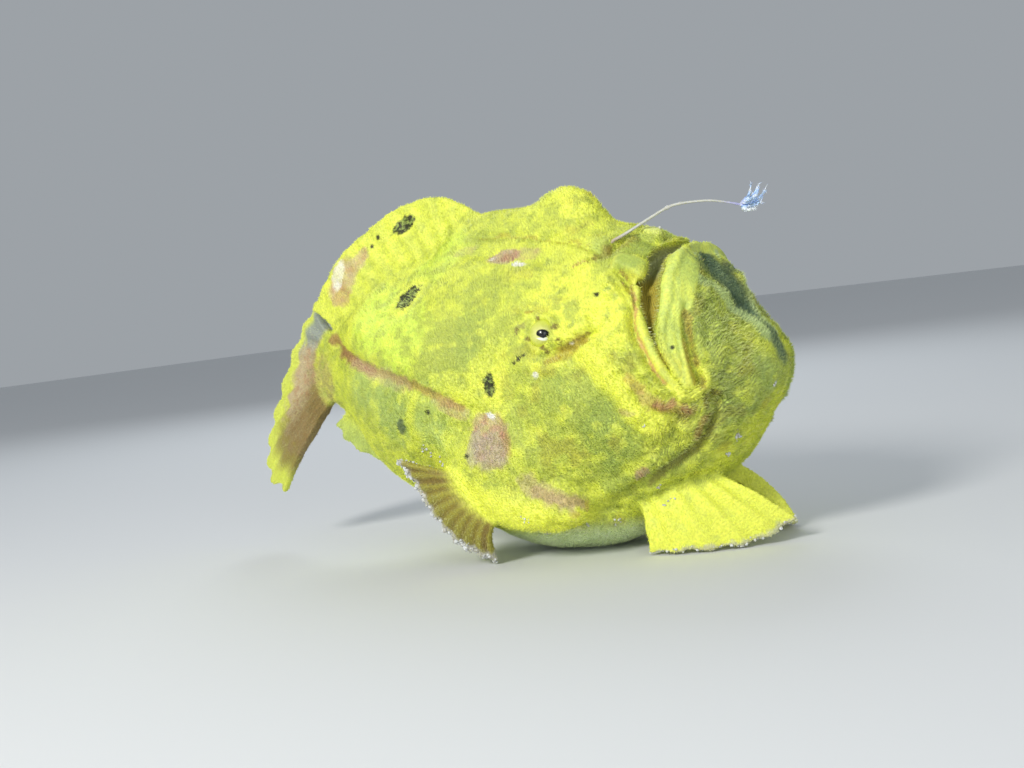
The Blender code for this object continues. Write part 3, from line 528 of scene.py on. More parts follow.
def fin_grid(plan):
    """The middle sheet of a fin as a grid of points, columns across the rays and rows out to the tips."""
    across = (plan["rays"] - 1) * STEPS_PER_RAY + 1
    ray = np.linspace(0, plan["rays"] - 1, across)
    on_ray = np.cos(np.pi * ray) ** 2
    roots = smooth_line(plan["root"], across)
    tips = smooth_line(plan["tips"], across)
    tips = tips + (roots - tips) * (plan["notch"] * (1 - on_ray))[:, None]
    down = np.linspace(0, 1, FIN_ROWS)
    bow = np.array(plan["bow"], float) * (4 * down * (1 - down))[:, None]
    grid = roots[:, None] + (tips - roots)[:, None] * down[None, :, None] + bow[None]
    web = plan.get("web", MEMBRANE_SHARE)
    share = web + (1 - web) * on_ray**1.5
    thick = between(plan["thickness"], down**0.6)[None, :] * share[:, None]
    bent = bend_tail(grid.reshape(-1, 3)).reshape(grid.shape)
    return bent, np.maximum(thick, LEAST_THICKNESS)


def grid_faces(columns, rows):
    first = (np.arange(columns - 1)[:, None] * rows + np.arange(rows - 1)[None, :]).ravel()
    return np.stack([first, first + rows, first + rows + 1, first + 1], 1)


def fin_shell(grid, thick):
    """A closed form round the sheet, as points and triangles."""
    across = np.gradient(grid, axis=0)
    down = np.gradient(grid, axis=1)
    normal = unit(np.cross(across, down))
    front = (grid + normal * thick[..., None] / 2).reshape(-1, 3)
    back = (grid - normal * thick[..., None] / 2).reshape(-1, 3)
    columns, rows = thick.shape
    quads = grid_faces(columns, rows)
    numbers = np.arange(columns * rows).reshape(columns, rows)
    edge = np.concatenate([numbers[0, :-1], numbers[:-1, -1], numbers[-1, :0:-1], numbers[:0:-1, 0]])
    after = np.roll(edge, -1)
    count = columns * rows
    rim = np.stack([edge, after, after + count, edge + count], 1)
    faces = np.concatenate([quads, quads[:, ::-1] + count, rim])
    triangles = np.concatenate([faces[:, [0, 1, 2]], faces[:, [0, 2, 3]]])
    return np.concatenate([front, back]), triangles


def join_arrays(pieces):
    points, faces, count = [], [], 0
    for some_points, some_faces in pieces:
        points.append(some_points)
        faces.append(some_faces + count)
        count += len(some_points)
    return np.concatenate(points), np.concatenate(faces)


def one_skin(fins):
    """Body, arms and fins fused into one even surface of small squares."""
    body, faces = soft_form(BODY_CENTRE, BODY_MASSES, BODY_LEVELS, COAT)
    pieces = [(bend_tail(open_mouth(body)), faces)]
    for side in (1, -1):
        masses = [((c[0], c[1] * side, c[2]), r, pitch) for c, r, pitch in ARM_MASSES.values()]
        centre = (ARM_CENTRE[0], ARM_CENTRE[1] * side, ARM_CENTRE[2])
        pieces.append(soft_form(centre, masses, ARM_LEVELS, COAT))
    for grid, thick in fins.values():
        pieces.append(fin_shell(grid, thick))
    rough = new_mesh("rough", *join_arrays(pieces))
    remesh = rough.modifiers.new("fuse", "REMESH")
    remesh.mode = "VOXEL"
    remesh.voxel_size = VOXEL * MM
    graph = bpy.context.evaluated_depsgraph_get()
    mesh = bpy.data.meshes.new_from_object(rough.evaluated_get(graph))
    bpy.data.objects.remove(rough, do_unlink=True)
    skin = bpy.data.objects.new("skin", mesh)
    bpy.context.scene.collection.objects.link(skin)
    return skin


def fin_places(points, fins):
    """For each point the nearest fin's number, the distance to its sheet, its thickness, side, ray and reach."""
    vertices, faces, owners = [], [], []
    for number, (grid, _) in enumerate(fins.values()):
        base = len(vertices)
        vertices += [Vector(p) for p in grid.reshape(-1, 3)]
        quads = grid_faces(*grid.shape[:2])
        faces += (quads + base).tolist()
        owners += [(number, k // (FIN_ROWS - 1), k % (FIN_ROWS - 1)) for k in range(len(quads))]
    tree = BVHTree.FromPolygons(vertices, faces)
    found = [tree.find_nearest(Vector(p)) for p in points]
    face = np.array([hit[2] for hit in found])
    owner, column, row = np.array(owners).T[:, face]
    place = {"fin": owner, "distance": np.array([hit[3] for hit in found])}
    corner = np.empty((3, len(points), 3))
    thick = np.empty(len(points))
    for number, (grid, thickness) in enumerate(fins.values()):
        mine = owner == number
        corner[0, mine] = grid[column[mine], row[mine]]
        corner[1, mine] = grid[column[mine] + 1, row[mine]]
        corner[2, mine] = grid[column[mine], row[mine] + 1]
        thick[mine] = thickness[column[mine], row[mine]]
    offset = points - corner[0]
    across = corner[1] - corner[0]
    down = corner[2] - corner[0]
    place["thick"] = thick
    place["side"] = np.sign(np.einsum("ij,ij->i", offset, np.cross(across, down)))
    place["ray"] = (column + np.clip((offset * across).sum(1) / (across**2).sum(1), 0, 1)) / STEPS_PER_RAY
    place["reach"] = (row + np.clip((offset * down).sum(1) / (down**2).sum(1), 0, 1)) / (FIN_ROWS - 1)
    place["way_out"] = unit(down)
    return place


def relax(points, edges, weight, rounds):
    """Draws each point towards the middle of its neighbours, by its weight."""
    count = len(points)
    ends = np.concatenate([edges, edges[:, ::-1]])
    degree = np.bincount(ends[:, 0], minlength=count)[:, None]
    for _ in range(rounds):
        total = np.stack([np.bincount(ends[:, 0], points[ends[:, 1], k], count) for k in range(3)], 1)
        points = points + (total / degree - points) * weight[:, None]
    return points


def eye_look(side):
    return unit(np.array(EYE_LOOK, float)) * (1, side, 1)


def eye_centre(side):
    return np.array(EYE_PLACE, float) * (1, side, 1) - eye_look(side) * EYE_SUNK


def surface_finder(points):
    """A function that moves places given on the left side onto the nearest of the points, mirrored to the left."""
    left = on_left(points)
    tree = KDTree(len(left))
    for number, point in enumerate(left):
        tree.insert(point, number)
    tree.balance()
    return lambda places: np.array([tree.find(place)[0] for place in places], float)


def raised(left, on_right, snap):
    """How far the folds and ridges lift each point, given by its place mirrored to the left."""
    lift = np.zeros(len(left))
    for name, (line_points, half_width, heights, flatness) in STROKES.items():
        line = snap(smooth_line(line_points, 24))
        near, distance, along = near_line(left, line, half_width * 2.6)
        share = np.where(on_right[near], 1.0, 0.0 if name.endswith("_right") else 1.0)
        lift[near] += share * between(heights, along) * np.exp(-((distance / half_width) ** flatness))
    ring = np.linalg.norm(left - np.array(EYE_PLACE), axis=1)
    lift += LID_HEIGHT * np.exp(-(((ring - LID_RADIUS) / LID_HALF_WIDTH) ** 2))
    lift -= SOCKET_DEPTH * (1 - step(SOCKET_RADIUS - 0.35, SOCKET_RADIUS + 0.15, ring))
    return lift


def shape_skin(skin, fins):
    """Rounds the fins' roots, presses in the folds and lips, adds lumps, and tells where each point lies."""
    mesh = skin.data
    points = read_points(mesh)
    edges = np.empty(len(mesh.edges) * 2, np.int32)
    mesh.edges.foreach_get("vertices", edges)
    edges = edges.reshape(-1, 2)
    place = fin_places(points, fins)
    off_body = field(points, BODY_MASSES) + COAT
    from_body = np.maximum(off_body, 0)
    from_fin = np.maximum(place["distance"] - place["thick"] / 2, 0)
    from_arm = np.maximum(field(on_left(points), ARM_MASSES.values()) + COAT, 0)
    root = np.where(place["fin"] == 0, 4.0, 2.4)
    junction = np.exp(-((from_body / root) ** 2) - (from_fin / root) ** 2)
    shoulder = np.exp(-((from_body / 3.0) ** 2) - (from_arm / 3.0) ** 2)
    points = relax(points, edges, 0.6 * np.maximum(junction, shoulder), 40)
    points = relax(points, edges, np.full(len(points), 0.3), 2)
    place["on_fin"] = step(0.4, 2.2, from_body) * (1 - step(0.5, 1.5, from_fin)) * step(0.3, 1.2, from_arm)
    place["off_body"] = off_body
    write_points(mesh, points)
    normals = read_normals(mesh)
    left = on_left(points)
    body_share = 1 - place["on_fin"]
    shallow = step(-1.2, -0.5, off_body)
    lips = lip_share(left)
    lumps = 0.35 * cloud(points, 7.0, 3) + 0.2 * cloud(points, 2.6, 5) + 0.08 * cloud(points, 1.0, 9, 2)
    knots = jaw_share(left) * (1.3 * np.maximum(cloud(points, 3.4, 21, 2) - 0.05, 0) + 0.35 * cloud(points, 1.7, 23))
    mouth_side = smooth_line(ROUGH_LINE, 20)
    near, distance, _ = near_line(left, mouth_side, 7.0)
    warts = np.zeros(len(points))
    warts[near] = (1 - step(2.5, 6.5, distance)) * np.maximum(cloud(points[near], 1.5, 25, 3) - 0.02, 0) * 0.9
    knots += warts
    lift = raised(left, points[:, 1] < 0, surface_finder(points)) + (lumps * (1 - 0.8 * lips) + knots * (1 - lips)) * shallow
    lift *= body_share
    ripple = 0.16 * cloud(points, 2.2, 31) * place["on_fin"]
    relief = np.array([FINS[name].get("relief", 0.12) for name in FIN_NAMES])[place["fin"]]
    ray_edge = place["on_fin"] * relief * np.cos(2 * np.pi * place["ray"])
    points = points + normals * (lift + ripple + ray_edge)[:, None]
    points[:, 2] = np.maximum(points[:, 2], FLOOR + 0.05)
    write_points(mesh, points)
    return points, read_normals(mesh), place


def lip_share(left):
    """1 on the bare bands of both lips, 0 on velvet skin. The points are on the left side."""
    share = np.zeros(len(left))
    bands = (
        (((22.6, 11, 51.3), (24.6, 10.8, 50.6), (26.6, 11.2, 49.4)), (1.5, 1.5)),
        (((25.0, 3.9, 56.3), (26.1, 3.9, 55.6)), (1.1, 1.1)),
        (((26.2, 12.7, 47.4), (27.2, 13.9, 44.8), (27.8, 15.5, 42), (28.4, 16.4, 39.6)), (0.7, 1.1)),
        (((28.4, 16.4, 39.6), (29.2, 16.8, 37.2), (30.4, 16.7, 34.4), (31.7, 16.1, 31.7), (33, 15, 29.6)), (1.3, 0.7)),
        (((31.4, 0, 52.3), (31.6, 5, 51.2), (31.9, 7.8, 50), (31.5, 10, 48.1)), (0.9, 2.2)),
        (((31.5, 10, 48.1), (31.5, 11.3, 45.7), (31.7, 12.6, 42.6), (32, 13.8, 39.4), (32.5, 14.6, 36.8),
          (33.3, 14.8, 34.3), (34.3, 14.5, 31.7)), (2.1, 1.5)),
        (((32.5, 7.9, 49.6), (32.8, 8.9, 48), (32.9, 9.9, 46.2), (32.9, 11, 44)), (2.6, 2.0)),
    )
    for line_points, widths in bands:
        near, distance, along = near_line(left, smooth_line(line_points, 20), max(widths) + 1.0)
        width = between(widths, along)
        share[near] = np.maximum(share[near], 1 - step(width - 0.25, width + 0.35, distance))
    return share


def jaw_share(left):
    """1 over the warty side of the lower jaw and the mouth's corner."""
    line = smooth_line(((36.5, 8.4, 43), (39, 8, 37), (38.8, 9.4, 31), (35.8, 11.4, 26), (31, 14.5, 21)), 20)
    near, distance, _ = near_line(left, line, 8.0)
    share = np.zeros(len(left))
    share[near] = 1 - step(2.0, 8.0, distance)
    return share


# Soft areas of colour on the side of the body: centre, radius, colour and strength
AREAS = (
    ((23.5, 19, 23), 9, OLIVE, 0.75),
    ((19, 21, 30), 6.5, OLIVE, 0.6),
    ((22, 15, 16.5), 6, OLIVE, 0.55),
    ((12, 20, 22), 6.5, OLIVE, 0.45),
    ((6, 20.8, 27.4), 5, OLIVE, 0.45),
    ((12.3, 21, 31.7), 5, OLIVE, 0.55),
    ((22.6, 21.3, 33.4), 3.5, OLIVE, 0.45),
    ((-3.4, 18.4, 43), 5.5, OLIVE, 0.6),
    ((-7, 20, 38), 5, OLIVE, 0.5),
    ((-12.5, 18.4, 43), 4.5, OLIVE, 0.35),
    ((39.6, 9.2, 24), 5.5, PALE_GREEN, 0.9),
    ((42, 7, 28), 4.0, PALE_GREEN, 0.7),
    ((34.8, 9.2, 43.8), 2.2, BRIGHT, 0.6),
    ((36.2, 7, 20.6), 5.5, BRIGHT, 0.8),
    ((-53.5, 1, 36.4), 6.5, (0.50, 0.40, 0.14), 0.75),
    ((22.4, 19.4, 41), 3.0, BRIGHT, 0.8),
    ((-3.5, 15, 49.7), 5, OLIVE, 0.35),
    ((2.3, 15.8, 47.4), 4, OLIVE, 0.3),
    ((-9, 4.5, 60), 4.5, OLIVE, 0.45),
    ((0, 5, 60), 3.5, OLIVE, 0.3),
    ((16.5, 9.6, 53.9), 4, PALE_GREEN, 0.6),
    ((-12.2, 20.6, 34), 4.5, PALE_GREEN, 0.6),
    ((-24, 18.7, 31.5), 8, PALE_GREEN, 0.85),
    ((-33, 14.6, 34), 6, PALE_GREEN, 0.8),
    ((-13, 20.9, 26.5), 6, PALE_GREEN, 0.75),
    ((36.6, 9, 39.5), 6.5, OLIVE, 0.8),
    ((40.4, 8.4, 33), 6, OLIVE, 0.6),
    ((38.5, 10.5, 30.5), 4, DEEP_OLIVE, 0.4),
    # Painted shade: dark green on the hollow at the front of the chin
    ((34.9, 5.2, 49.2), 2.8, PAINTED_SHADE_GREEN, 0.9),
    ((33.8, 1.6, 50.8), 2.6, PAINTED_SHADE_GREEN, 0.8),
    ((26.2, 3, 55.2), 3.0, OLIVE, 0.8),
    ((24.2, 6.6, 54.8), 3.2, OLIVE, 0.8),
    ((25.4, 8.4, 53), 2.6, OLIVE, 0.7),
    ((22.6, 9.6, 52.6), 3.0, OLIVE, 0.6),
    # Painted shade: dark olive beside the knob of the lower jaw
    ((34.9, 7.4, 47.4), 2.0, DEEP_OLIVE, 0.7),
    ((37, 9, 22.7), 5, OLIVE, 0.5),
    ((44.3, 4.4, 30.6), 4.5, PALE_GREEN, 0.7),
    ((43.2, 3, 35.6), 3.6, BRIGHT, 0.4),
    ((-9.9, 19.5, 40.3), 6, MOTTLE, 0.85),
    ((-4.6, 19.2, 40.7), 4.5, OLIVE, 0.45),
    ((29, 12.4, 18), 4, OLIVE, 0.4),
    ((-30, 12, 47.5), 9, ACID, 0.95),
    ((-20, 17, 43.5), 8, ACID, 0.9),
    ((-18, 6, 56), 8, ACID, 0.7),
    ((-39, 8.4, 45.5), 5, BRIGHT, 0.7),
    ((9.7, 1.5, 64), 6, BRIGHT, 0.8),
    ((13.5, 15.7, 48), 8, BRIGHT, 0.85),
    ((23, 17, 43.5), 7, BRIGHT, 1.0),
    ((22.5, 20, 38), 3.5, BRIGHT, 0.9),
    ((2.5, 20.8, 33), 4.5, BRIGHT, 0.75),
    ((-6.5, 21, 33), 3.4, BRIGHT, 0.5),
    ((11.8, 21, 38), 4.5, BRIGHT, 0.55),
    ((29.6, 17, 24), 3.5, BRIGHT, 0.7),
    ((35.9, 13.9, 28.8), 3.5, BRIGHT, 0.8),
    ((41.8, 8.5, 28), 3, BRIGHT, 0.4),
)


def blobs(points, centres, radius, seed, ragged=0.35):
    """How far inside any of the round patches each point lies, above 0 inside, with a ragged edge."""
    edge = 1 + ragged * cloud(points, radius * 0.6, seed, 3)
    nearest = np.full(len(points), 1e9)
    for centre in centres:
        nearest = np.minimum(nearest, np.linalg.norm(points - np.array(centre, float), axis=1))
    return edge - nearest / radius


def oval(points, centre, long_way, long_radius, short_radius, seed, ragged=0.3):
    """Like blobs, for one oval patch whose long side runs along long_way."""
    offset = points - np.array(centre, float)
    along = offset @ unit(np.array(long_way, float))
    aside = np.sqrt(np.maximum((offset**2).sum(1) - along**2, 0))
    edge = 1 + ragged * cloud(points, short_radius * 0.8, seed, 3)
    return edge - np.hypot(along / long_radius, aside / short_radius)


def markings(points, place, snap):
    """The skin's colour at each point."""
    left = on_left(points)
    on_fin = place["on_fin"]
    colours = np.tile(np.array(LEMON, float), (len(points), 1))
    warp = 1.4 * np.stack([cloud(points, 5.0, 40 + k) for k in range(3)], 1)
    moved = left + warp
    ragged = 0.35 * cloud(points, 2.2, 47, 3)
    for centre, radius, colour, strength in AREAS:
        near = np.flatnonzero((np.abs(moved - np.array(centre)) < radius * 1.5).all(1))
        distance = np.linalg.norm(moved[near] - np.array(centre, float), axis=1) / radius + ragged[near]
        colours[near] = mix(colours[near], colour, strength * (1 - step(0.45, 1.1, distance)))
    mottle = cloud(points, 1.7, 50, 4)
    colours = mix(colours, MOTTLE, 0.7 * step(0.0, 0.4, mottle))
    colours = mix(colours, BRIGHT, 0.5 * step(0.08, 0.45, -mottle))
    speckle = cloud(points, 0.7, 53, 2)
    colours = mix(colours, DEEP_OLIVE, 0.24 * step(0.15, 0.6, speckle))
    warm = cloud(points, 3.2, 56, 3)
    colours = mix(colours, OCHRE, 0.28 * step(0.1, 0.5, warm) * step(-10, 14, points[:, 0]))
    # The underside paler towards the floor: partly its own colour, partly painted bounce light
    colours = mix(colours, PALE_BELLY_AND_BOUNCE, 0.85 * step(9.5, 5.5, points[:, 2]) * (1 - on_fin))
    for line_points, half_width, colour, strength in BANDS:
        paint_line(colours, moved, snap(smooth_line(line_points, 24)), colour, half_width, strength, ragged)
    paint_lips(colours, points, left)
    grain = cloud(points, 0.8, 62, 2)
    for centre, way, radii, colour, strength in PATCHES:
        paint_patch(colours, left, snap([centre])[0], way, radii, colour, strength, grain)
    for line_points, half_width, colour, strength in LINES:
        paint_line(colours, left, snap(smooth_line(line_points, 24)), colour, half_width, strength, 1.2 * ragged + grain)
    colours = paint_fins(colours, points, place)
    paint_spots(colours, left, snap)
    inside = (1 - step(-1.7, -0.7, place["off_body"])) * (1 - on_fin)
    near, _, _ = near_line(left, smooth_line([p for p, _, _ in MOUTH_LINE], 40), 8.0)
    colours[near] = mix(colours[near], CAVITY, inside[near] * 0.9)
    roof = inside[near] * step(46.5, 49, left[near, 2]) * step(30, 28.4, left[near, 0])
    colours[near] = mix(colours[near], (0.36, 0.42, 0.22), roof * 0.7)
    return colours


def paint_line(colours, places, line, colour, half_width, strength, ragged):
    """Paints a ragged line of colour along the skin, in place."""
    near, distance, _ = near_line(places, line, half_width * 2.2)
    edge = distance / half_width + 0.5 * ragged[near]
    colours[near] = mix(colours[near], colour, strength * (1 - step(0.55, 1.25, edge)))


def paint_patch(colours, places, centre, way, radii, colour, strength, grain):
    """Paints a ragged oval whose long side runs along way, in place."""
    offset = places - centre
    near = np.flatnonzero((offset**2).sum(1) < (max(radii) * 1.6) ** 2)
    offset = offset[near]
    along = offset @ unit(np.array(way, float))
    aside = np.sqrt(np.maximum((offset**2).sum(1) - along**2, 0))
    size = np.hypot(along / radii[0], aside / radii[1])
    edge = size + 0.3 * cloud(places[near], min(radii) * 0.9, 61, 3) + 0.18 * grain[near]
    share = strength * (1 - step(0.75, 1.05, edge)) * (1 + 0.35 * grain[near])
    colours[near] = mix(colours[near], colour, share)
    if colour == PINK:
        speck = step(-0.1, 0.4, cloud(places[near], 1.1, 63, 3))
        colours[near] = mix(colours[near], ROSE, 0.55 * share * speck)


# Bands of colour with soft edges along the side: points, half width, colour and strength
BANDS = (
    (((15.6, 20.8, 41.2), (19.6, 20.8, 38.6), (22.4, 20.7, 36), (24.4, 20.2, 32), (26.4, 19.2, 28.2), (29.4, 17.2, 24.6)),
     2.4, BRIGHT, 0.95),
    (((-19, 21, 23.6), (-9.6, 22, 17.5), (-0.9, 22, 12.4), (7.6, 20, 10.4), (14.9, 15, 7.6)), 3.2, BRIGHT, 0.95),
    (((31, 15.6, 26.4), (27.6, 15.6, 21), (22.6, 15.6, 17.4)), 1.6, BRIGHT, 0.6),
    (((8, 8, 57.5), (13, 9, 56), (16, 12, 52.4), (17, 15, 48)), 2.4, BRIGHT, 0.7),
    (((14.8, 20.4, 37.5), (17, 20.2, 38.2), (19.4, 19.3, 39.7)), 1.5, OCHRE, 0.6),
    # Painted shade: dark green down the front of the chin
    (((35.8, 0, 50.2), (36.8, 0, 48.2), (37.4, 0, 45.4), (38.4, 0, 42.6)), 4.4, PAINTED_SHADE_GREEN, 0.95),
    (((38.4, 0, 42.6), (40.6, 0, 39.6), (43, 0, 36.4), (44.8, 0, 33.4)), 2.0, PAINTED_SHADE_GREEN, 0.9),
    # Pale hairs along the jaw's crest, partly painted highlight
    (((35.6, 8, 46.8), (36.4, 5.6, 45.2), (37.9, 4.4, 42.4), (39.3, 3, 40.4), (41, 2.3, 38.6), (43.2, 2, 36)),
     0.8, PALE_CREST_AND_HIGHLIGHT, 0.8),
    (((31.9, 15.8, 32), (33.8, 15.3, 29.6), (36.4, 14.2, 29.4), (36.6, 14.4, 32)), 1.3, BRIGHT, 0.9),
)

# Patches: centre, the long side's way, half length and half width, colour and strength
PATCHES = (
    ((-0.4, 21.6, 24.6), (-0.2, 0, 1), (5.4, 4.4), PINK, 0.72),
    ((-0.8, 21.8, 22.4), (0, 0, 1), (3.6, 3.4), (0.50, 0.40, 0.32), 0.5),
    ((2.6, 21.6, 25.2), (-0.2, 0, 1), (3.6, 1.0), RED_BROWN, 0.4),
    ((-3.6, 21.6, 23.4), (0.2, 0, 1), (4.4, 1.3), (0.52, 0.44, 0.34), 0.6),
    ((0.3, 21.2, 28.4), (1, 0, -0.5), (1.2, 0.6), WHITE, 1.0),
    ((-1.1, 9.8, 55.2), (1, 0, 0.1), (3.4, 1.7), PINK, 0.85),
    ((-0.6, 9.8, 55.0), (1, 0, 0.1), (2.2, 0.9), RED_BROWN, 0.45),
    ((2.6, 11, 53.8), (1, 0, -0.4), (1.9, 0.7), WHITE, 0.95),
    ((-3.6, 9.4, 55.2), (0.1, 0, 1), (1.2, 0.6), WHITE, 0.7),
    ((3.5, 9.5, 55.4), (1, 0, 0), (3.0, 1.5), PINK, 0.35),
    ((-12, 7, 57.6), (1, 0, 0), (4.0, 1.0), PINK, 0.25),
    ((-46.3, 0, 55.2), (0.5, 0, 1), (5.6, 3.2), PINK, 0.85),
    ((-42.4, 0.6, 58.2), (1, 0, 0.8), (5.0, 1.6), PINK, 0.7),
    ((-46.8, 0, 52.4), (0.5, 0, 1), (2.6, 2.2), RED_BROWN, 0.4),
    ((-47.6, 0, 56.2), (0.4, 0, 1), (3.8, 1.6), WHITE, 0.75),
    ((-35, 1.4, 60.4), (1, 0, 0.5), (3.0, 0.8), RED_BROWN, 0.35),
    ((-8, 21, 30.2), (1, 0, -0.45), (4.6, 1.6), PINK, 0.4),
    ((-18, 20, 21.5), (1, 0, -0.4), (4.0, 1.6), (0.50, 0.50, 0.40), 0.5),
    ((25.6, 18.6, 27.6), (1, 0, -0.3), (1.6, 0.7), PINK, 0.4),
    ((24, 14.4, 17.6), (1, 0.4, 0.6), (1.8, 1.2), PINK, 0.75),
    ((12, 17.6, 11.6), (1, 0, -0.2), (2.2, 0.8), RED_BROWN, 0.35),
    # Pale front ridge of the jaw, partly painted highlight
    ((32.6, 4.4, 51.2), (1, -0.8, -0.8), (1.9, 0.6), PALE_CREST_AND_HIGHLIGHT, 0.9),
    ((33.8, 3.2, 50.2), (1, 0, -0.6), (0.7, 0.45), OCHRE, 0.9),
    ((17.4, 19.4, 42.2), (0.2, 0, 1), (1.9, 0.8), MOTTLE, 0.9),
    ((16.5, 17.6, 44.6), (0.2, 0, 1), (2.2, 1.6), MOTTLE, 0.7),
    ((6.6, 17.9, 42.8), (1, 0, -0.3), (1.0, 0.6), (0.30, 0.28, 0.09), 0.6),
    ((7.8, 17.4, 45.1), (1, 0, 0), (1.2, 0.35), OCHRE, 0.8),
)

# Narrow lines: points, half width, colour and strength
LINES = (
    (((-50, 3, 44.4), (-44, 6.2, 42), (-36, 11.5, 39.6), (-29, 16.1, 38)), 1.15, RUST, 0.9),
    (((-44, 6.2, 42), (-36, 11.5, 39.6), (-29, 16.1, 38)), 0.5, RED_BROWN, 0.6),
    (((-29, 16.1, 38), (-19, 19.8, 35.2), (-12.1, 21, 32.8), (-6, 21.3, 30.2)), 0.85, RUST, 0.65),
    (((-36, 11.5, 39.6), (-27, 17.1, 37.4), (-19, 19.8, 35)), 1.5, PINK, 0.35),
    (((28.6, 18.2, 29.2), (30, 18, 28.1), (31.3, 17, 27.3), (32.4, 15.6, 27.2), (34.3, 14, 26.4)), 1.2, CORAL, 0.4),
    (((30, 17.8, 28.1), (31.3, 16.9, 27.4), (32.1, 15.6, 27.8)), 0.6, RED_BROWN, 0.75),
    (((33.3, 15, 27), (34.0, 14.3, 26.5)), 0.65, RED_BROWN, 0.75),
    (((26, 18.6, 32.4), (27.8, 18, 30.6)), 0.9, CORAL, 0.4),
    (((35.2, 11.6, 24.6), (33.4, 11.6, 22.4)), 1.2, CORAL, 0.6),
    (((7, 20, 15.4), (9.5, 18.8, 13.4), (14.5, 16.6, 12.2)), 1.0, RED_BROWN, 0.5),
    (((5.6, 20.4, 16.6), (10, 18.6, 13.6), (13, 17.4, 12.6)), 1.7, PINK, 0.5),
    # Painted shade: brown in the fold running from the mouth's corner and in the pit at its end
    (((36.6, 10.6, 25.3), (34.1, 10.7, 21.9), (31.5, 11.2, 19.5), (28.5, 12.1, 17.8), (23.4, 13.2, 14.8)), 0.7, BROWN, 0.5),
    (((36.9, 12.5, 28.6), (37, 11.8, 27)), 0.9, BROWN, 0.6),
    # Painted shade: brown in the groove under the lure's rod
    (((17.6, 10.9, 52.3), (19.6, 9.9, 53), (20.4, 8.4, 54.1)), 0.45, CREASE_SHADE_BROWN, 0.7),
    (((18.6, 10.2, 52.8), (20.2, 9, 53.8), (21.8, 7.2, 54.9), (23.2, 6, 55.4)), 0.8, CREASE_SHADE_BROWN, 0.5),
    (((14.8, 12.6, 51.3), (16.6, 11.5, 51.8), (17.8, 10.9, 52.2)), 0.4, CORAL, 0.6),
    # Painted shade: the dark upper edge of the nostril's crease
    (((16.8, 20.1, 39), (18.4, 19.8, 39.6), (20.3, 18.8, 40.3)), 0.35, CREASE_SHADE_BROWN, 0.9),
    (((15.2, 20, 38), (17.2, 20.1, 38.4), (19.4, 19.4, 39.5)), 0.8, OCHRE, 0.6),
    (((12.4, 20.3, 36.8), (14.4, 20.4, 37.4)), 0.6, OCHRE, 0.7),
    (((22.8, 12.1, 49.8), (24, 12.7, 48.7), (25.5, 13.7, 46.7), (26.7, 14.7, 44.6), (26.9, 16.2, 41.7),
      (27.3, 17.1, 39.7), (28.2, 17.2, 38), (29.5, 17.2, 34.7), (31.2, 16.4, 31.3)), 0.36, CORAL, 0.8),
    # Painted shade: brown in the fold behind the upper lip's lobe
    (((22.8, 12.1, 49.8), (24, 12.7, 48.7), (25.5, 13.7, 46.7), (26.7, 14.7, 44.6)), 0.3, CREASE_SHADE_BROWN, 0.7),
    # Painted shade: ochre and brown in the crease beside the lower lip
    (((33.6, 11.2, 41.6), (34, 12.4, 38.6), (34.6, 13.3, 36), (35.4, 13.7, 32.6), (36, 13.4, 30.4)), 0.8, (0.56, 0.48, 0.08), 0.9),
    (((33.9, 11.8, 40.2), (34.6, 13, 37.1), (35.4, 13.7, 33.2)), 0.35, CREASE_SHADE_BROWN, 0.6),
    (((29.9, 15.6, 38.6), (30.6, 16, 36.4), (31.9, 15.8, 33.6), (33, 15.2, 31.2)), 0.35, OCHRE, 0.7),
    (((-8.8, 5.2, 59.4), (-1.9, 5.8, 58.7), (4.7, 6.3, 57.5), (10.8, 6.5, 56.2), (15.6, 8.2, 54.7)), 0.4, OCHRE, 0.45),
)


def paint_lips(colours, points, left):
    """Paints the bare bands of the lips, streaked lengthwise, in place."""
    lips = lip_share(left)
    near = np.flatnonzero(lips > 0)
    streaks = cloud(points[near] * (1.0, 1.0, 0.22), 0.55, 81, 2)
    lower = step(29.6, 30.4, left[near, 0] + 0.18 * (left[near, 2] - 37)) * step(34, 37, left[near, 2])
    colours[near] = mix(colours[near], LIP, 0.9 * lips[near])
    colours[near] = mix(colours[near], LOWER_LIP, 0.9 * lips[near] * lower)
    colours[near] = mix(colours[near], PALE_GREEN, 0.45 * lips[near] * step(-0.1, 0.5, streaks))
    colours[near] = mix(colours[near], BRIGHT, 0.4 * lips[near] * step(0.0, 0.5, -streaks))
    lobe = np.linalg.norm(left[near] - np.array((24.4, 10.8, 50.8)), axis=1)
    colours[near] = mix(colours[near], OLIVE, 0.85 * lips[near] * (1 - step(1.8, 3.8, lobe)))
    knob = np.linalg.norm(left[near] - np.array((33.6, 7.6, 48.6)), axis=1)
    colours[near] = mix(colours[near], OLIVE, 0.55 * lips[near] * (1 - step(1.8, 4.2, knob)))
    snout = np.linalg.norm(left[near] - np.array((25.6, 3.9, 56)), axis=1)
    colours[near] = mix(colours[near], (0.74, 0.80, 0.20), lips[near] * (1 - step(1.6, 2.6, snout)))


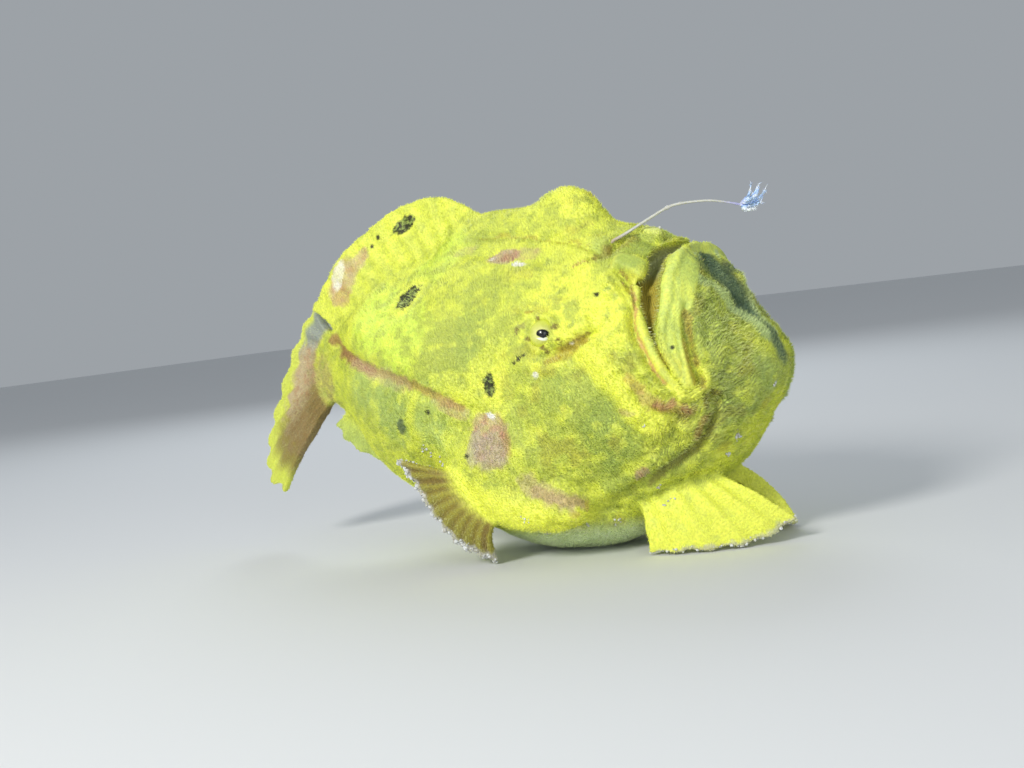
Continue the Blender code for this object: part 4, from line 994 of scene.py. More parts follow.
def paint_fins(colours, points, place):
    """Brown translucent webs, partly painted shade, pale edges and the tail's bands, with painted shade at the tail's
    root.
    """
    number = place["fin"]
    reach = place["reach"]
    on_fin = place["on_fin"]
    rays = 0.5 + 0.5 * np.cos(2 * np.pi * place["ray"])
    grain = cloud(points, 1.2, 90, 3)
    pectoral = np.isin(number, (3, 4)) * on_fin
    # The pectoral webs brown: partly their own colour, partly painted shade under the body
    colours = mix(colours, WEB_BROWN_AND_SHADE, pectoral * step(-0.3, 0.1, reach + 0.25 * grain) * (1 - 0.2 * rays))
    streak = cloud(np.stack([place["ray"] * 1.3, reach * 1.6, 0 * reach], 1), 1.0, 93, 3)
    colours = mix(colours, BROWN, pectoral * 0.55 * step(0.0, 0.4, streak + 0.3 * grain))
    colours = mix(colours, CRUST, pectoral * step(0.8, 0.9, reach + 0.1 * grain))
    pelvic = np.isin(number, (5, 6)) * on_fin
    colours = mix(colours, BRIGHT, pelvic * 0.9)
    colours = mix(colours, PALE_GREEN, pelvic * 0.35 * step(-0.1, 0.7, grain) * (1 - rays))
    colours = mix(colours, CRUST, pelvic * 0.7 * step(0.95, 1.0, reach + 0.06 * grain))
    tail = (number == 2) * on_fin
    ray = place["ray"]
    colours = mix(colours, LEMON, tail * 0.8)
    middle = step(0.1, 0.3, reach + 0.15 * grain) * (1 - step(0.55, 0.72, reach + 0.15 * grain))
    colours = mix(colours, PINK, tail * 0.85 * middle)
    colours = mix(colours, RED_BROWN, tail * 0.5 * middle * step(-0.1, 0.4, grain))
    # Painted shade: brown on the tail's root side and across its lower rays, where the body shades it
    root = 1 - step(0.16, 0.4, reach + 0.12 * grain)
    colours = mix(colours, TAIL_SHADE_BROWN, tail * 0.9 * root * step(1, 2.4, ray))
    colours = mix(colours, TAIL_SHADE_BROWN, tail * 0.85 * step(4.0, 6.4, ray + 0.6 * grain) * (1 - step(0.7, 0.9, reach)))
    upper = tail * (1 - step(1.0, 2.4, ray + 0.5 * grain)) * (1 - step(0.6, 0.85, reach))
    colours = mix(colours, (0.26, 0.32, 0.30), upper * 0.85)
    anal = (number == 1) * on_fin
    colours = mix(colours, PALE_GREEN, anal * 0.6)
    dorsal = (number == 0) * on_fin
    return mix(colours, BRIGHT, dorsal * 0.45 * (0.5 - 0.5 * grain))


# Dark eye spots: centre, long side's way, half length and half width
EYE_SPOTS = (
    ((0.2, 20.9, 33.7), (-0.12, 0, 1), 1.95, 1.2),
    ((-21.6, 12, 50.7), (0.8, 0, 1), 3.1, 2.5),
    ((-30.2, 0, 64.1), (1, 0, 0.35), 3.3, 1.35),
)
DOTS = (
    ((7.7, 20, 38), 0.22), ((6.8, 20, 37.4), 0.36), ((5.8, 20.1, 36.9), 0.28), ((-13.3, 21, 29.8), 0.3),
    ((-36.4, 0, 62.4), 0.35), ((-38.2, 0, 61.1), 0.25), ((20.6, 16.1, 46.6), 0.3), ((-5, 21.5, 22), 0.2),
    ((32.3, 14.8, 36.5), 0.22),
)
EYE_MARKS = (((14.2, 19.6, 42.4), 0.34), ((10.2, 18.6, 43.7), 0.25), ((8.5, 19.8, 40.5), 0.42), ((8.3, 19.9, 39.9), 0.3),
             ((11.6, 20.5, 39.5), 0.3), ((11.9, 20.6, 38.9), 0.36), ((12.3, 20.6, 38.2), 0.34), ((15.7, 20.5, 39.5), 0.22),
             ((5.6, 18, 42), 0.24), ((15.1, 20.3, 40.2), 0.15))


def paint_spots(colours, left, snap):
    """Paints the ringed spots, small dots and the brown dashes round the eye, in place."""
    for number, (centre, way, long_radius, short_radius) in enumerate(EYE_SPOTS):
        offset = left - snap([centre])[0]
        near = np.flatnonzero((offset**2).sum(1) < (long_radius * 3) ** 2)
        offset = offset[near]
        along = offset @ unit(np.array(way, float))
        aside = np.sqrt(np.maximum((offset**2).sum(1) - along**2, 0))
        size = np.hypot(along / long_radius, aside / short_radius)
        rough = 0.35 * cloud(left[near], 0.8, 100 + number, 2)
        speck = cloud(left[near], 0.5, 110 + number, 2)
        colours[near] = mix(colours[near], BRIGHT, 0.5 * (1 - step(1.2, 2.0, size)))
        colours[near] = mix(colours[near], BLACK, 0.96 * (1 - step(0.86, 1.06, size + rough)))
        heart = (1 - step(0.75, 1.0, size)) * step(0.0, 0.2, speck)
        colours[near] = mix(colours[near], OLIVE, 0.9 * heart)
    grey = left - snap([(-20.9, 19.5, 27.3)])[0]
    size = np.linalg.norm(grey, axis=1) / 1.5 + 0.3 * cloud(left, 0.8, 117, 2)
    colours[:] = mix(colours, GREY_GREEN, 0.85 * (1 - step(0.75, 1.1, size)))
    for centre, radius in DOTS:
        distance = np.linalg.norm(left - snap([centre])[0], axis=1)
        near = np.flatnonzero(distance < 2)
        colours[near] = mix(colours[near], BLACK, 0.95 * (1 - step(radius, radius + 0.25, distance[near])))
    for centre, radius in EYE_MARKS:
        distance = np.linalg.norm(left - snap([centre])[0], axis=1)
        near = np.flatnonzero(distance < 2.5)
        rough = distance[near] + 0.5 * cloud(left[near], 0.7, 130, 2)
        colours[near] = mix(colours[near], BROWN, 0.8 * (1 - step(radius, radius + 0.3, rough)))
    # The smallest white dot, on the nostril, is a painted highlight
    for centre, radius, colour in (((22.4, 15, 46.7), 0.7, PALE_GREEN), ((10.1, 21, 34.5), 0.45, WHITE),
                                   ((17.5, 20.3, 39.1), 0.18, WHITE)):
        distance = np.linalg.norm(left - snap([centre])[0], axis=1)
        colours[:] = mix(colours, colour, 0.85 * (1 - step(radius, radius + 0.3, distance)))


def noise_node(tree, scale, detail, coordinates):
    node = tree.nodes.new("ShaderNodeTexNoise")
    node.inputs["Scale"].default_value = scale
    node.inputs["Detail"].default_value = detail
    tree.links.new(coordinates, node.inputs["Vector"])
    return node


def painted_material(name, roughness, scatter, grain, bump, coat=0.0, sheen=0.0):
    """A material that reads the stored paint and adds fine grain to its brightness and its surface."""
    made = bpy.data.materials.new(name)
    made.use_nodes = True
    tree = made.node_tree
    shader = tree.nodes["Principled BSDF"]
    shader.inputs["Roughness"].default_value = roughness
    shader.inputs["Subsurface Weight"].default_value = scatter
    shader.inputs["Subsurface Radius"].default_value = (1.0, 0.75, 0.15)
    shader.inputs["Subsurface Scale"].default_value = 0.0012
    shader.inputs["Coat Weight"].default_value = coat
    shader.inputs["Coat Roughness"].default_value = 0.12
    shader.inputs["Sheen Weight"].default_value = sheen
    paint = tree.nodes.new("ShaderNodeAttribute")
    paint.attribute_name = "paint"
    place = tree.nodes.new("ShaderNodeTexCoord").outputs["Object"]
    fine = noise_node(tree, 2600, 3, place)
    brightness = map_range(tree, fine.outputs["Fac"], (0.3, 0.7), (1 - grain, 1 + grain))
    scaled = tree.nodes.new("ShaderNodeVectorMath")
    scaled.name = "scaled"
    scaled.operation = "SCALE"
    tree.links.new(paint.outputs["Color"], scaled.inputs[0])
    tree.links.new(brightness, scaled.inputs["Scale"])
    tree.links.new(scaled.outputs["Vector"], shader.inputs["Base Color"])
    if bump:
        relief = tree.nodes.new("ShaderNodeBump")
        relief.name = "relief"
        relief.inputs["Strength"].default_value = bump
        relief.inputs["Distance"].default_value = 0.0002
        pits = noise_node(tree, 3800, 2, place)
        tree.links.new(pits.outputs["Fac"], relief.inputs["Height"])
        tree.links.new(relief.outputs["Normal"], shader.inputs["Normal"])
    return made


def map_range(tree, value, source, target):
    node = tree.nodes.new("ShaderNodeMapRange")
    for name, number in zip(("From Min", "From Max", "To Min", "To Max"), (*source, *target)):
        node.inputs[name].default_value = number
    tree.links.new(value, node.inputs["Value"])
    return node.outputs["Result"]


def calculate(tree, operation, *values):
    node = tree.nodes.new("ShaderNodeMath")
    node.operation = operation
    for socket, value in zip(node.inputs, values):
        if isinstance(value, (int, float)):
            socket.default_value = value
        else:
            tree.links.new(value, socket)
    return node.outputs["Value"]


def velvet_material():
    """The skin: painted, and darker in broken lines between the rows in which its spinules stand."""
    made = painted_material("skin", 0.6, 0.12, 0.14, 0.5)
    tree = made.node_tree
    row, velvet = (tree.nodes.new("ShaderNodeAttribute") for _ in range(2))
    row.attribute_name = "row"
    velvet.attribute_name = "velvet"
    crest = calculate(tree, "COSINE", calculate(tree, "MULTIPLY", row.outputs["Fac"], 2 * math.pi))
    place = tree.nodes.new("ShaderNodeTexCoord").outputs["Object"]
    broken = map_range(tree, noise_node(tree, 1100, 2, place).outputs["Fac"], (0.4, 0.6), (-0.1, 1))
    crest = calculate(tree, "MULTIPLY", crest, broken)
    shade = calculate(tree, "MULTIPLY", calculate(tree, "SUBTRACT", crest, 0.5), GAP_SHADE)
    scaled = tree.nodes["scaled"]
    grain = scaled.inputs["Scale"].links[0].from_socket
    factor = calculate(tree, "MULTIPLY_ADD", shade, velvet.outputs["Fac"], 1)
    tree.links.new(calculate(tree, "MULTIPLY", grain, factor), scaled.inputs["Scale"])
    height = tree.nodes["relief"].inputs["Height"]
    pits = height.links[0].from_socket
    tree.links.new(calculate(tree, "MULTIPLY_ADD", crest, 0.25, pits), height)
    return made


def store_numbers(mesh, name, values):
    layer = mesh.attributes.new(name, "FLOAT", "POINT")
    layer.data.foreach_set("value", values.astype(np.float32))


# Spinules of the velvet: how many for each square millimetre before thinning, length, root radius, and lean
SPINULES_PER_MM2 = 24.0
SPINULE_LENGTH = 0.52
SPINULE_RADIUS = 0.08
SPINULE_LEAN = 1.1
ROW_SPACING = 0.64
ROW_WAY = (0.93, 0.0, 0.37)
JAW_ROW_WAY = (-0.55, 0.0, 0.83)
JAW_ROW_SHIFT = 25.0
GAP_SHADE = 0.34
SIDE_LIE = (-0.45, 0.0, 0.9)
JAW_LIE = (0.6, 0.0, 0.6)
PALE_TIP = (0.88, 0.95, 0.42)
MOST_IN_A_PIECE = 62000


def chart_places(points, place):
    """A place in the bake map for each point: a disc for each side of the body and a tile for each side of a fin."""
    out = unit(points - np.array(BODY_CENTRE))
    side = points[:, 1] >= 0
    spread = np.sqrt(2 / (1 + np.abs(out[:, 1]))) / math.sqrt(2) * 0.24
    body = np.stack([np.where(side, 0.25, 0.75) + out[:, 0] * spread, 0.74 + out[:, 2] * spread], 1)
    rays = np.array([plan["rays"] - 1 for plan in FINS.values()])[place["fin"]]
    across = (place["ray"] / rays) * 0.11
    fin = np.stack([0.03 + place["fin"] * 0.137 + across, 0.03 + place["reach"] * 0.19 + (place["side"] > 0) * 0.23], 1)
    return np.where((place["on_fin"] > 0.5)[:, None], fin, body)


def row_numbers(points):
    """Where each point lies across the rows of spinules, rising by 1 from row to row."""
    side = points @ unit(np.array(ROW_WAY))
    jaw = points @ unit(np.array(JAW_ROW_WAY)) + JAW_ROW_SHIFT
    across = side + (jaw - side) * step(25, 33, points[:, 0])
    return (across + 1.6 * cloud(points, 4.5, 140, 3)) / ROW_SPACING


def grow_coat(skin, points, normals, place, colours, row):
    """Thousands of small leaning cones in rows over the skin, in several meshes."""
    chance = np.random.default_rng(SEED)
    faces = read_faces(skin.data, 4)
    corners = points[faces]
    normal = unit(normals[faces].mean(1))
    area = np.linalg.norm(np.cross(corners[:, 2] - corners[:, 0], corners[:, 3] - corners[:, 1]), axis=1) / 2
    middle = corners.mean(1)
    left = on_left(middle)
    on_fin = place["on_fin"][faces].mean(1)
    off_body = place["off_body"][faces].mean(1)
    bare = lip_share(left)
    bare = np.maximum(bare, 1 - step(2.3, 2.8, np.linalg.norm(left - np.array(EYE_PLACE), axis=1)))
    bare = np.maximum(bare, (1 - step(-1.4, -0.6, off_body)) * (1 - on_fin))
    bare = np.maximum(bare, (middle[:, 2] < FLOOR + 0.5) * 1.0)
    wanted = SPINULES_PER_MM2 * area * (1 - bare) * (1 - 0.35 * on_fin)
    chosen = np.repeat(np.arange(len(faces)), chance.poisson(wanted))
    a, b = chance.random((2, len(chosen), 1))
    c = corners[chosen]
    weights = np.concatenate([(1 - a) * (1 - b), a * (1 - b), a * b, (1 - a) * b], 1)
    root = (c * weights[..., None]).sum(1)
    crest = 0.5 + 0.5 * np.cos(2 * np.pi * (row[faces[chosen]] * weights).sum(1))
    flat_fin = on_fin[chosen] > 0.5
    stays = chance.random(len(chosen)) < np.where(flat_fin, 0.45, 0.18 + 0.72 * crest**1.3)
    chosen, root, flat_fin, crest = chosen[stays], root[stays], flat_fin[stays], crest[stays]
    count = len(chosen)
    up = normal[chosen]
    first = faces[chosen, 0]
    jaw = jaw_share(on_left(root))
    forward = step(25, 33, root[:, 0])[:, None]
    along_row = unit(np.array(SIDE_LIE)) * (1 - forward) + unit(np.array(JAW_LIE)) * forward
    swirl = np.stack([cloud(root, 7.0, 150 + k, 2) for k in range(3)], 1)
    back = np.where(flat_fin[:, None], place["way_out"][first], along_row)
    back = back + 0.7 * swirl + 0.22 * chance.normal(size=(count, 3))
    back = unit(back - (back * up).sum(1)[:, None] * up)
    lean = SPINULE_LEAN * (0.7 + 0.6 * chance.random(count)) * (1 - 0.3 * jaw)
    way = unit(up + back * lean[:, None])
    face = (1 - jaw) * (1 - step(6, 9, np.linalg.norm(on_left(root) - np.array((20, 15, 44)), axis=1)))
    length = SPINULE_LENGTH * (1 + 0.3 * jaw - 0.25 * face) * (0.7 + 0.6 * chance.random(count))
    length *= 1 - 0.4 * bare[chosen]
    length *= np.where(flat_fin, 0.7, 1.0)
    aside = np.cross(up, back)
    radius = SPINULE_RADIUS * (0.8 + 0.5 * chance.random(count))
    vertices = np.empty((count, 4, 3))
    for k in range(3):
        turn = 2 * math.pi * k / 3
        rim = back * math.cos(turn) + aside * math.sin(turn)
        vertices[:, k] = root + rim * radius[:, None] - up * 0.06
    vertices[:, 3] = root + way * length[:, None]
    vertices[..., 2] = np.maximum(vertices[..., 2], FLOOR + 0.02)
    tone = colours[first] * (0.9 + 0.24 * chance.random((count, 1)))
    bright = tone @ np.array((0.3, 0.6, 0.1))
    dim = 1 - step(0.3, 0.75, bright)
    tip = mix(tone * (1.06 + 0.2 * dim[:, None]), PALE_TIP, (0.1 + 0.25 * dim + 0.35 * jaw) * step(0.06, 0.3, bright))
    low = tone * (0.92 - 0.18 * dim - 0.22 * jaw)[:, None]
    vertex_shades = np.stack([low, low, low, tip], 1)
    chart = chart_places(root, {key: value[first] for key, value in place.items()})
    pattern = np.array(((0, 1, 3), (1, 2, 3), (2, 0, 3)))
    patch = np.array(((0.0, 0.0), (0.003, 0.0), (0.0015, 0.003)))
    look = painted_material("velvet_tips", 0.55, 0.0, 0.04, 0.0)
    order = np.argsort(root[:, 0], kind="stable")
    for number, start in enumerate(range(0, count, MOST_IN_A_PIECE)):
        mine = order[start:start + MOST_IN_A_PIECE]
        triangles = (pattern[None] + 4 * np.arange(len(mine))[:, None, None]).reshape(-1, 3)
        piece = new_mesh(f"velvet_{number}", vertices[mine].reshape(-1, 3), triangles, smooth=False)
        paint_points(piece.data, vertex_shades[mine].reshape(-1, 3))
        uv = np.repeat(chart[mine], 9, axis=0).reshape(-1, 3, 3, 2) + patch[None, None]
        layer = piece.data.uv_layers.new(name="OFBake")
        layer.uv.foreach_set("vector", uv.astype(np.float32).ravel())
        piece.data.materials.append(look)
        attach(piece, "root")
    return count


def make_eye(name, side, look):
    """A round eye with a dark oval pupil in a pale yellow iris with a few brown streaks, and a painted white glint
    below the pupil.
    """
    directions, faces = sphere_arrays(6)
    forward = unit(np.array(PUPIL_LOOK)) * (1, side, 1)
    along = unit(np.cross(np.array((0, 0, 1.0)), forward) * side)
    upward = np.cross(forward, along) * side
    ahead = directions @ forward
    sideways = directions @ along
    height = directions @ upward
    points = eye_centre(side) + directions * EYE_RADIUS
    bulge = 0.22 * np.exp(-((1 - ahead) / 0.12))
    points += forward * bulge[:, None]
    tilt = 0.28
    long_way = sideways * math.cos(tilt) + height * math.sin(tilt)
    short_way = -sideways * math.sin(tilt) + height * math.cos(tilt)
    away = np.where(ahead > 0, np.hypot(long_way / 0.47, short_way / 0.32), 9)
    turn = np.arctan2(height, sideways)
    streak = cloud(np.stack([np.cos(turn) * 3.2, np.sin(turn) * 3.2, away * 0.5], 1), 1.0, 160, 2)
    colours = np.tile(np.array((0.64, 0.66, 0.14)), (len(points), 1))
    colours = mix(colours, (0.70, 0.70, 0.24), 0.7 * (1 - step(1.2, 1.8, away)))
    colours = mix(colours, MOTTLE, 0.5 * step(0.1, 0.5, streak) * step(1.2, 1.6, away))
    colours = mix(colours, LEMON, 0.8 * step(1.7, 2.4, away))
    # Painted reflection: a thin white crescent below the pupil, with a notch cut into the pupil where it meets it
    below = -short_way - 0.25 * long_way
    glint_crescent = (1 - step(1.25, 1.5, away)) * step(0.2, 0.3, below)
    colours = mix(colours, (0.92, 0.93, 0.86), glint_crescent)
    away = np.maximum(away, 1.2 * step(0.27, 0.32, below + 0.5 * np.abs(long_way + 0.08)))
    colours = mix(colours, (0.003, 0.003, 0.003), 1 - step(0.95, 1.02, away))
    eye = new_mesh(name, points, faces)
    paint_points(eye.data, colours)
    eye.data.materials.append(look)
    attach(eye, "root")
    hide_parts(name)
    return eye


def tube(line, radii, sides, colours=None):
    """Points and triangles of a closed tube along a line, with a radius for each of its points."""
    line = np.asarray(line, float)
    way = unit(np.gradient(line, axis=0))
    start = np.array((0.0, 0.0, 1.0)) if abs(way[0, 2]) < 0.9 else np.array((0.0, 1.0, 0.0))
    first = unit(np.cross(way, start))
    second = np.cross(way, first)
    turn = 2 * np.pi * np.arange(sides) / sides
    ring = first[:, None] * np.cos(turn)[None, :, None] + second[:, None] * np.sin(turn)[None, :, None]
    points = (line[:, None] + ring * np.asarray(radii)[:, None, None]).reshape(-1, 3)
    count = len(line)
    here = (np.arange(count - 1)[:, None] * sides + np.arange(sides)[None]).ravel()
    beside = (np.arange(count - 1)[:, None] * sides + (np.arange(sides)[None] + 1) % sides).ravel()
    faces = np.concatenate([np.stack([here, here + sides, beside], 1), np.stack([beside, here + sides, beside + sides], 1)])
    ends = np.array([line[0], line[-1]])
    base = count * sides
    spin = np.arange(sides)
    low = np.stack([np.full(sides, base), spin, (spin + 1) % sides], 1)
    top = np.stack([np.full(sides, base + 1), base - sides + (spin + 1) % sides, base - sides + spin], 1)
    return np.concatenate([points, ends]), np.concatenate([faces, low, top])


def cones(starts, ways, lengths, radius, sides, curl):
    """Joined small curved cones: points and triangles."""
    pieces = []
    for start, way, length, bend in zip(starts, ways, lengths, curl):
        t = np.linspace(0, 1, 5)[:, None]
        line = start + way * length * t + bend * t**2
        pieces.append(tube(line, radius * (1 - 0.88 * t[:, 0]), sides))
    return join_arrays(pieces)


def finish_piece(name, arrays, colours, look, replaced=()):
    piece = new_mesh(name, *arrays)
    paint_points(piece.data, colours)
    piece.data.materials.append(look)
    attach(piece, "root")
    if replaced:
        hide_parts(*replaced)
    return piece


def make_rod(look):
    line = smooth_line(ROD_LINE, 90)
    along = np.linspace(0, 1, len(line))
    radii = between(ROD_RADII, along)
    for where, size in ROD_NODULES:
        radii = radii + (size - between(ROD_RADII, where)) * np.exp(-(((along - where) / 0.006) ** 2))
    radii = radii * (1 + 0.06 * lattice_noise(line / 0.5, 170))
    points, faces = tube(line, radii, 12)
    shade = step(0.0, 0.35, np.append(np.repeat(along, 12), (0, 1)))
    colours = mix(np.tile(np.array((0.46, 0.33, 0.20)), (len(points), 1)), (0.50, 0.50, 0.44), shade)
    violet = step(0.86, 0.98, np.append(np.repeat(along, 12), (0, 1)))
    colours = mix(colours, (0.34, 0.34, 0.66), 0.8 * violet)
    speck = step(0.2, 0.6, cloud(points, 0.7, 171, 2))
    colours = mix(colours, (0.68, 0.66, 0.60), 0.4 * speck)
    return finish_piece("rod", (points, faces), colours, look, ("illicium",))


# The lure's folded ribbons: the places that each runs through and its widths at both ends and in the middle
TUFT_RIBBONS = (
    (((40.1, 0.1, 58.3), (41.2, 0.3, 59.2), (41.8, 0.2, 60.0), (42.0, 0.3, 61.0)), (0.5, 0.6, 0.10)),
    (((40.2, 0.2, 58.2), (41.5, 0.8, 59.0), (42.4, 1.0, 59.9), (43.0, 1.2, 60.9)), (0.5, 0.8, 0.12)),
    (((40.3, 0.4, 58.0), (41.9, 0.9, 58.4), (43.0, 1.2, 58.9), (43.9, 1.2, 59.9)), (0.6, 0.9, 0.12)),
    (((40.2, 0.3, 57.9), (41.4, 0.6, 57.6), (42.3, 0.8, 57.8), (43.1, 0.8, 58.1)), (0.7, 1.0, 0.4)),
    (((40.1, 0.1, 57.9), (40.4, 0.4, 57.3), (41.2, 0.8, 57.1), (42.0, 0.9, 57.4)), (0.6, 1.0, 0.3)),
    (((40.2, -0.1, 57.8), (40.6, 0.1, 57.2), (41.2, 0.2, 57.0), (41.8, 0.3, 57.1)), (0.5, 0.7, 0.2)),
    (((40.3, -0.2, 58.2), (41.2, -0.5, 58.4), (42.2, -0.4, 58.8), (42.9, -0.2, 59.4)), (0.5, 0.7, 0.12)),
    (((40.5, 0.4, 58.2), (41.6, 0.2, 58.6), (42.6, 0.5, 59.2), (43.2, 0.6, 60.3)), (0.5, 0.6, 0.10)),
    (((41.2, 0.5, 58.0), (42.0, 1.4, 58.2), (42.8, 1.9, 58.8), (43.4, 2.0, 59.5)), (0.6, 0.7, 0.12)),
)
RIBBON_THICKNESS = 0.14


def make_ribbon(places, widths, number):
    """One crumpled ribbon as a closed tube whose rings are flattened and turned along its length."""
    line = smooth_line(places, 22)
    along = np.linspace(0, 1, len(line))
    wide = np.interp(along, (0, 0.5, 1), widths) * (1 + 0.35 * cloud(line, 0.5, 200 + number, 2))
    points, faces = tube(line, np.ones(len(line)), 12)
    way = unit(np.gradient(line, axis=0))
    turn = 1.1 * number + 2.2 * along
    upright = unit(np.cross(way, np.array((0.0, 1.0, 0.0))))
    across = unit(upright * np.cos(turn)[:, None] + np.cross(way, upright) * np.sin(turn)[:, None])
    flat = np.cross(way, across)
    rings = points[:-2].reshape(len(line), 12, 3) - line[:, None]
    broad = np.einsum("ijk,ik->ij", rings, across) * wide[:, None] / 2
    thin = np.einsum("ijk,ik->ij", rings, flat) * RIBBON_THICKNESS / 2
    crumple = 0.28 * np.sin(broad * 9 + along[:, None] * 14 + number) * wide[:, None]
    rings = across[:, None] * broad[..., None] + flat[:, None] * (thin + crumple)[..., None]
    points[:-2] = (line[:, None] + rings).reshape(-1, 3)
    return points, faces


def make_tuft(look):
    """The lure: a clump of crumpled pale ribbons with fine ends, and a small bead, kept inside the solid's box."""
    chance = np.random.default_rng(SEED + 1)
    low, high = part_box("esca")
    low = np.array(low) / MM + (0, 0, FLOOR)
    high = np.array(high) / MM + (0, 0, FLOOR)
    pieces = [make_ribbon(places, widths, number) for number, (places, widths) in enumerate(TUFT_RIBBONS)]
    starts, ways, lengths, curls = [], [], [], []
    for places, _ in TUFT_RIBBONS:
        line = smooth_line(places, 10)
        for k in range(5):
            start = line[-1 - k % 4]
            way = unit(unit(line[-1] - line[-3]) + 0.5 * chance.normal(size=3))
            starts.append(start)
            ways.append(way)
            lengths.append(0.5 + 0.5 * chance.random())
            curls.append(chance.normal(size=3) * 0.15)
    pieces.append(cones(starts, ways, lengths, 0.08, 5, curls))
    directions, faces = sphere_arrays(3)
    for centre, radius in (((40.5, 0.2, 57.5), 0.55), ((42.0, 1.0, 57.05), 0.18), ((40.15, 0.05, 58.1), 0.4)):
        lumpy = 1 + 0.3 * cloud(directions, 0.5, 175, 2)[:, None]
        pieces.append((np.array(centre) + directions * lumpy * radius, faces))
    points, faces = join_arrays(pieces)
    points = np.clip(points, low - (0.5, 0, 0), high)
    tone = step(-0.2, 0.5, cloud(points, 0.7, 176, 2))
    colours = mix(np.tile(np.array((0.42, 0.60, 0.86)), (len(points), 1)), (0.90, 0.94, 0.97), tone)
    colours = mix(colours, (0.36, 0.34, 0.66), 0.6 * (1 - step(40.2, 41.2, points[:, 0])) * step(57.6, 58.2, points[:, 2]))
    colours = mix(colours, (0.92, 0.92, 0.84), 0.7 * (1 - step(57.2, 57.8, points[:, 2])))
    return finish_piece("lure_tuft", (points, faces), colours, look, ("esca",))


TOOTH_LINES = (
    ((27.4, 2.4, 54.2), (27.2, 6, 53), (27, 9.3, 50.8), (27.0, 11.1, 48.3), (26.9, 13.2, 45.5), (27.7, 14.2, 43.4),
     (28.3, 15.1, 41.5), (29.3, 16, 39.4), (29.8, 16.5, 38.4), (30.5, 17, 36.5)),
    ((30.6, 1.5, 53.1), (30.8, 4, 52.2), (30.9, 6.1, 51.4), (30.9, 8.4, 50.2), (30.5, 10.5, 48.8), (30.1, 11.9, 47),
     (30.1, 12.9, 45.2), (30.0, 14.6, 41.5), (30.4, 15.8, 37.6)),
)


def make_teeth(skin_tree, look):
    """Rows of fine teeth along the inner edge of both lips."""
    chance = np.random.default_rng(SEED + 2)
    starts, ways, lengths, curls = [], [], [], []
    for number, line_points in enumerate(TOOTH_LINES):
        line = smooth_line(line_points, 70)
        for side in (1, -1):
            for row in range(3):
                for place in line:
                    spot = place * (1, side, 1) + chance.normal(size=3) * 0.16
                    hit, normal, _, _ = skin_tree.find_nearest(Vector(spot))
                    inward = unit(np.array(BODY_CENTRE) - spot)
                    across = np.array((1.0 if number == 0 else -1.0, 0.0, 0.0))
                    way = unit(np.array(normal) * 0.7 + across * 0.8 + inward * (0.1 + 0.3 * row))
                    starts.append(np.array(hit) + inward * 0.35 * row - np.array(normal) * 0.05)
                    ways.append(way)
                    lengths.append(0.4 + 0.45 * chance.random())
                    curls.append(inward * 0.2)
    points, faces = cones(starts, ways, lengths, 0.085, 5, curls)
    pale = step(0.1, 0.6, cloud(points, 0.6, 180, 2))
    colours = mix(np.tile(np.array((0.50, 0.50, 0.10)), (len(points), 1)), (0.85, 0.86, 0.50), 0.8 * pale)
    return finish_piece("teeth", (points, faces), colours, look)


# Grains of pale silt that cling to the skin: place on the right side, spread and number of grains
SILT_SPOTS = (
    ((38.7, -6.4, 20.2), 0.9, 9), ((37.0, -6.5, 16.5), 0.7, 7), ((26.3, -11.6, 12.2), 0.9, 9), ((15.6, -10, 8.6), 0.8, 6),
    ((11.4, -12.3, 8.4), 0.5, 4), ((5, -23.4, 10.4), 0.8, 7), ((2.9, -12.5, 6.2), 0.6, 4), ((45, -3, 28.5), 0.5, 5),
    ((-16, -20.5, 22.5), 1.8, 16), ((-13, -21.3, 20.5), 1.2, 9), ((27.6, -16.5, 25.3), 0.5, 4), ((28.6, -2, 59.6), 0.2, 2),
)


def make_silt(skin_tree, fins, look):
    """Small rough grains: a few on the skin, and a crust along the tips of the pectoral and pelvic fins."""
    chance = np.random.default_rng(SEED + 3)
    spots = []
    for centre, spread, number in SILT_SPOTS:
        for _ in range(number):
            spots.append((np.array(centre) + chance.normal(size=3) * spread * 0.5, 0.10 + 0.16 * chance.random()))
    for name, amount in (("pectoral_fin_right", 420), ("pectoral_fin_left", 220), ("pelvic_fin_right", 60),
                         ("pelvic_fin_left", 36)):
        grid, _ = fins[name]
        depth = 1.8 if name.startswith("pectoral") else 0.9
        for _ in range(amount):
            column = chance.integers(0, grid.shape[0])
            row = FIN_ROWS - 1 - min(int(abs(chance.normal()) * depth), FIN_ROWS - 2)
            spots.append((grid[column, row] + chance.normal(size=3) * 0.25, 0.12 + 0.26 * chance.random() ** 2))
    directions, faces = sphere_arrays(2)
    pieces = []
    for spot, size in spots:
        hit, normal, _, _ = skin_tree.find_nearest(Vector(spot))
        centre = np.array(hit) + np.array(normal) * size * 0.5
        centre[2] = max(centre[2], FLOOR + size * 1.3)
        rough = 1 + 0.4 * lattice_noise(directions * 1.7 + centre, 190)
        stretch = chance.uniform(0.7, 1.25, size=3)
        pieces.append((centre + directions * stretch * rough[:, None] * size, faces))
    points, faces = join_arrays(pieces)
    colours = mix(np.tile(np.array(SILT), (len(points), 1)), (0.45, 0.42, 0.33), step(-0.2, 0.6, cloud(points, 1.0, 191)))
    return finish_piece("silt", (points, faces), colours, look)


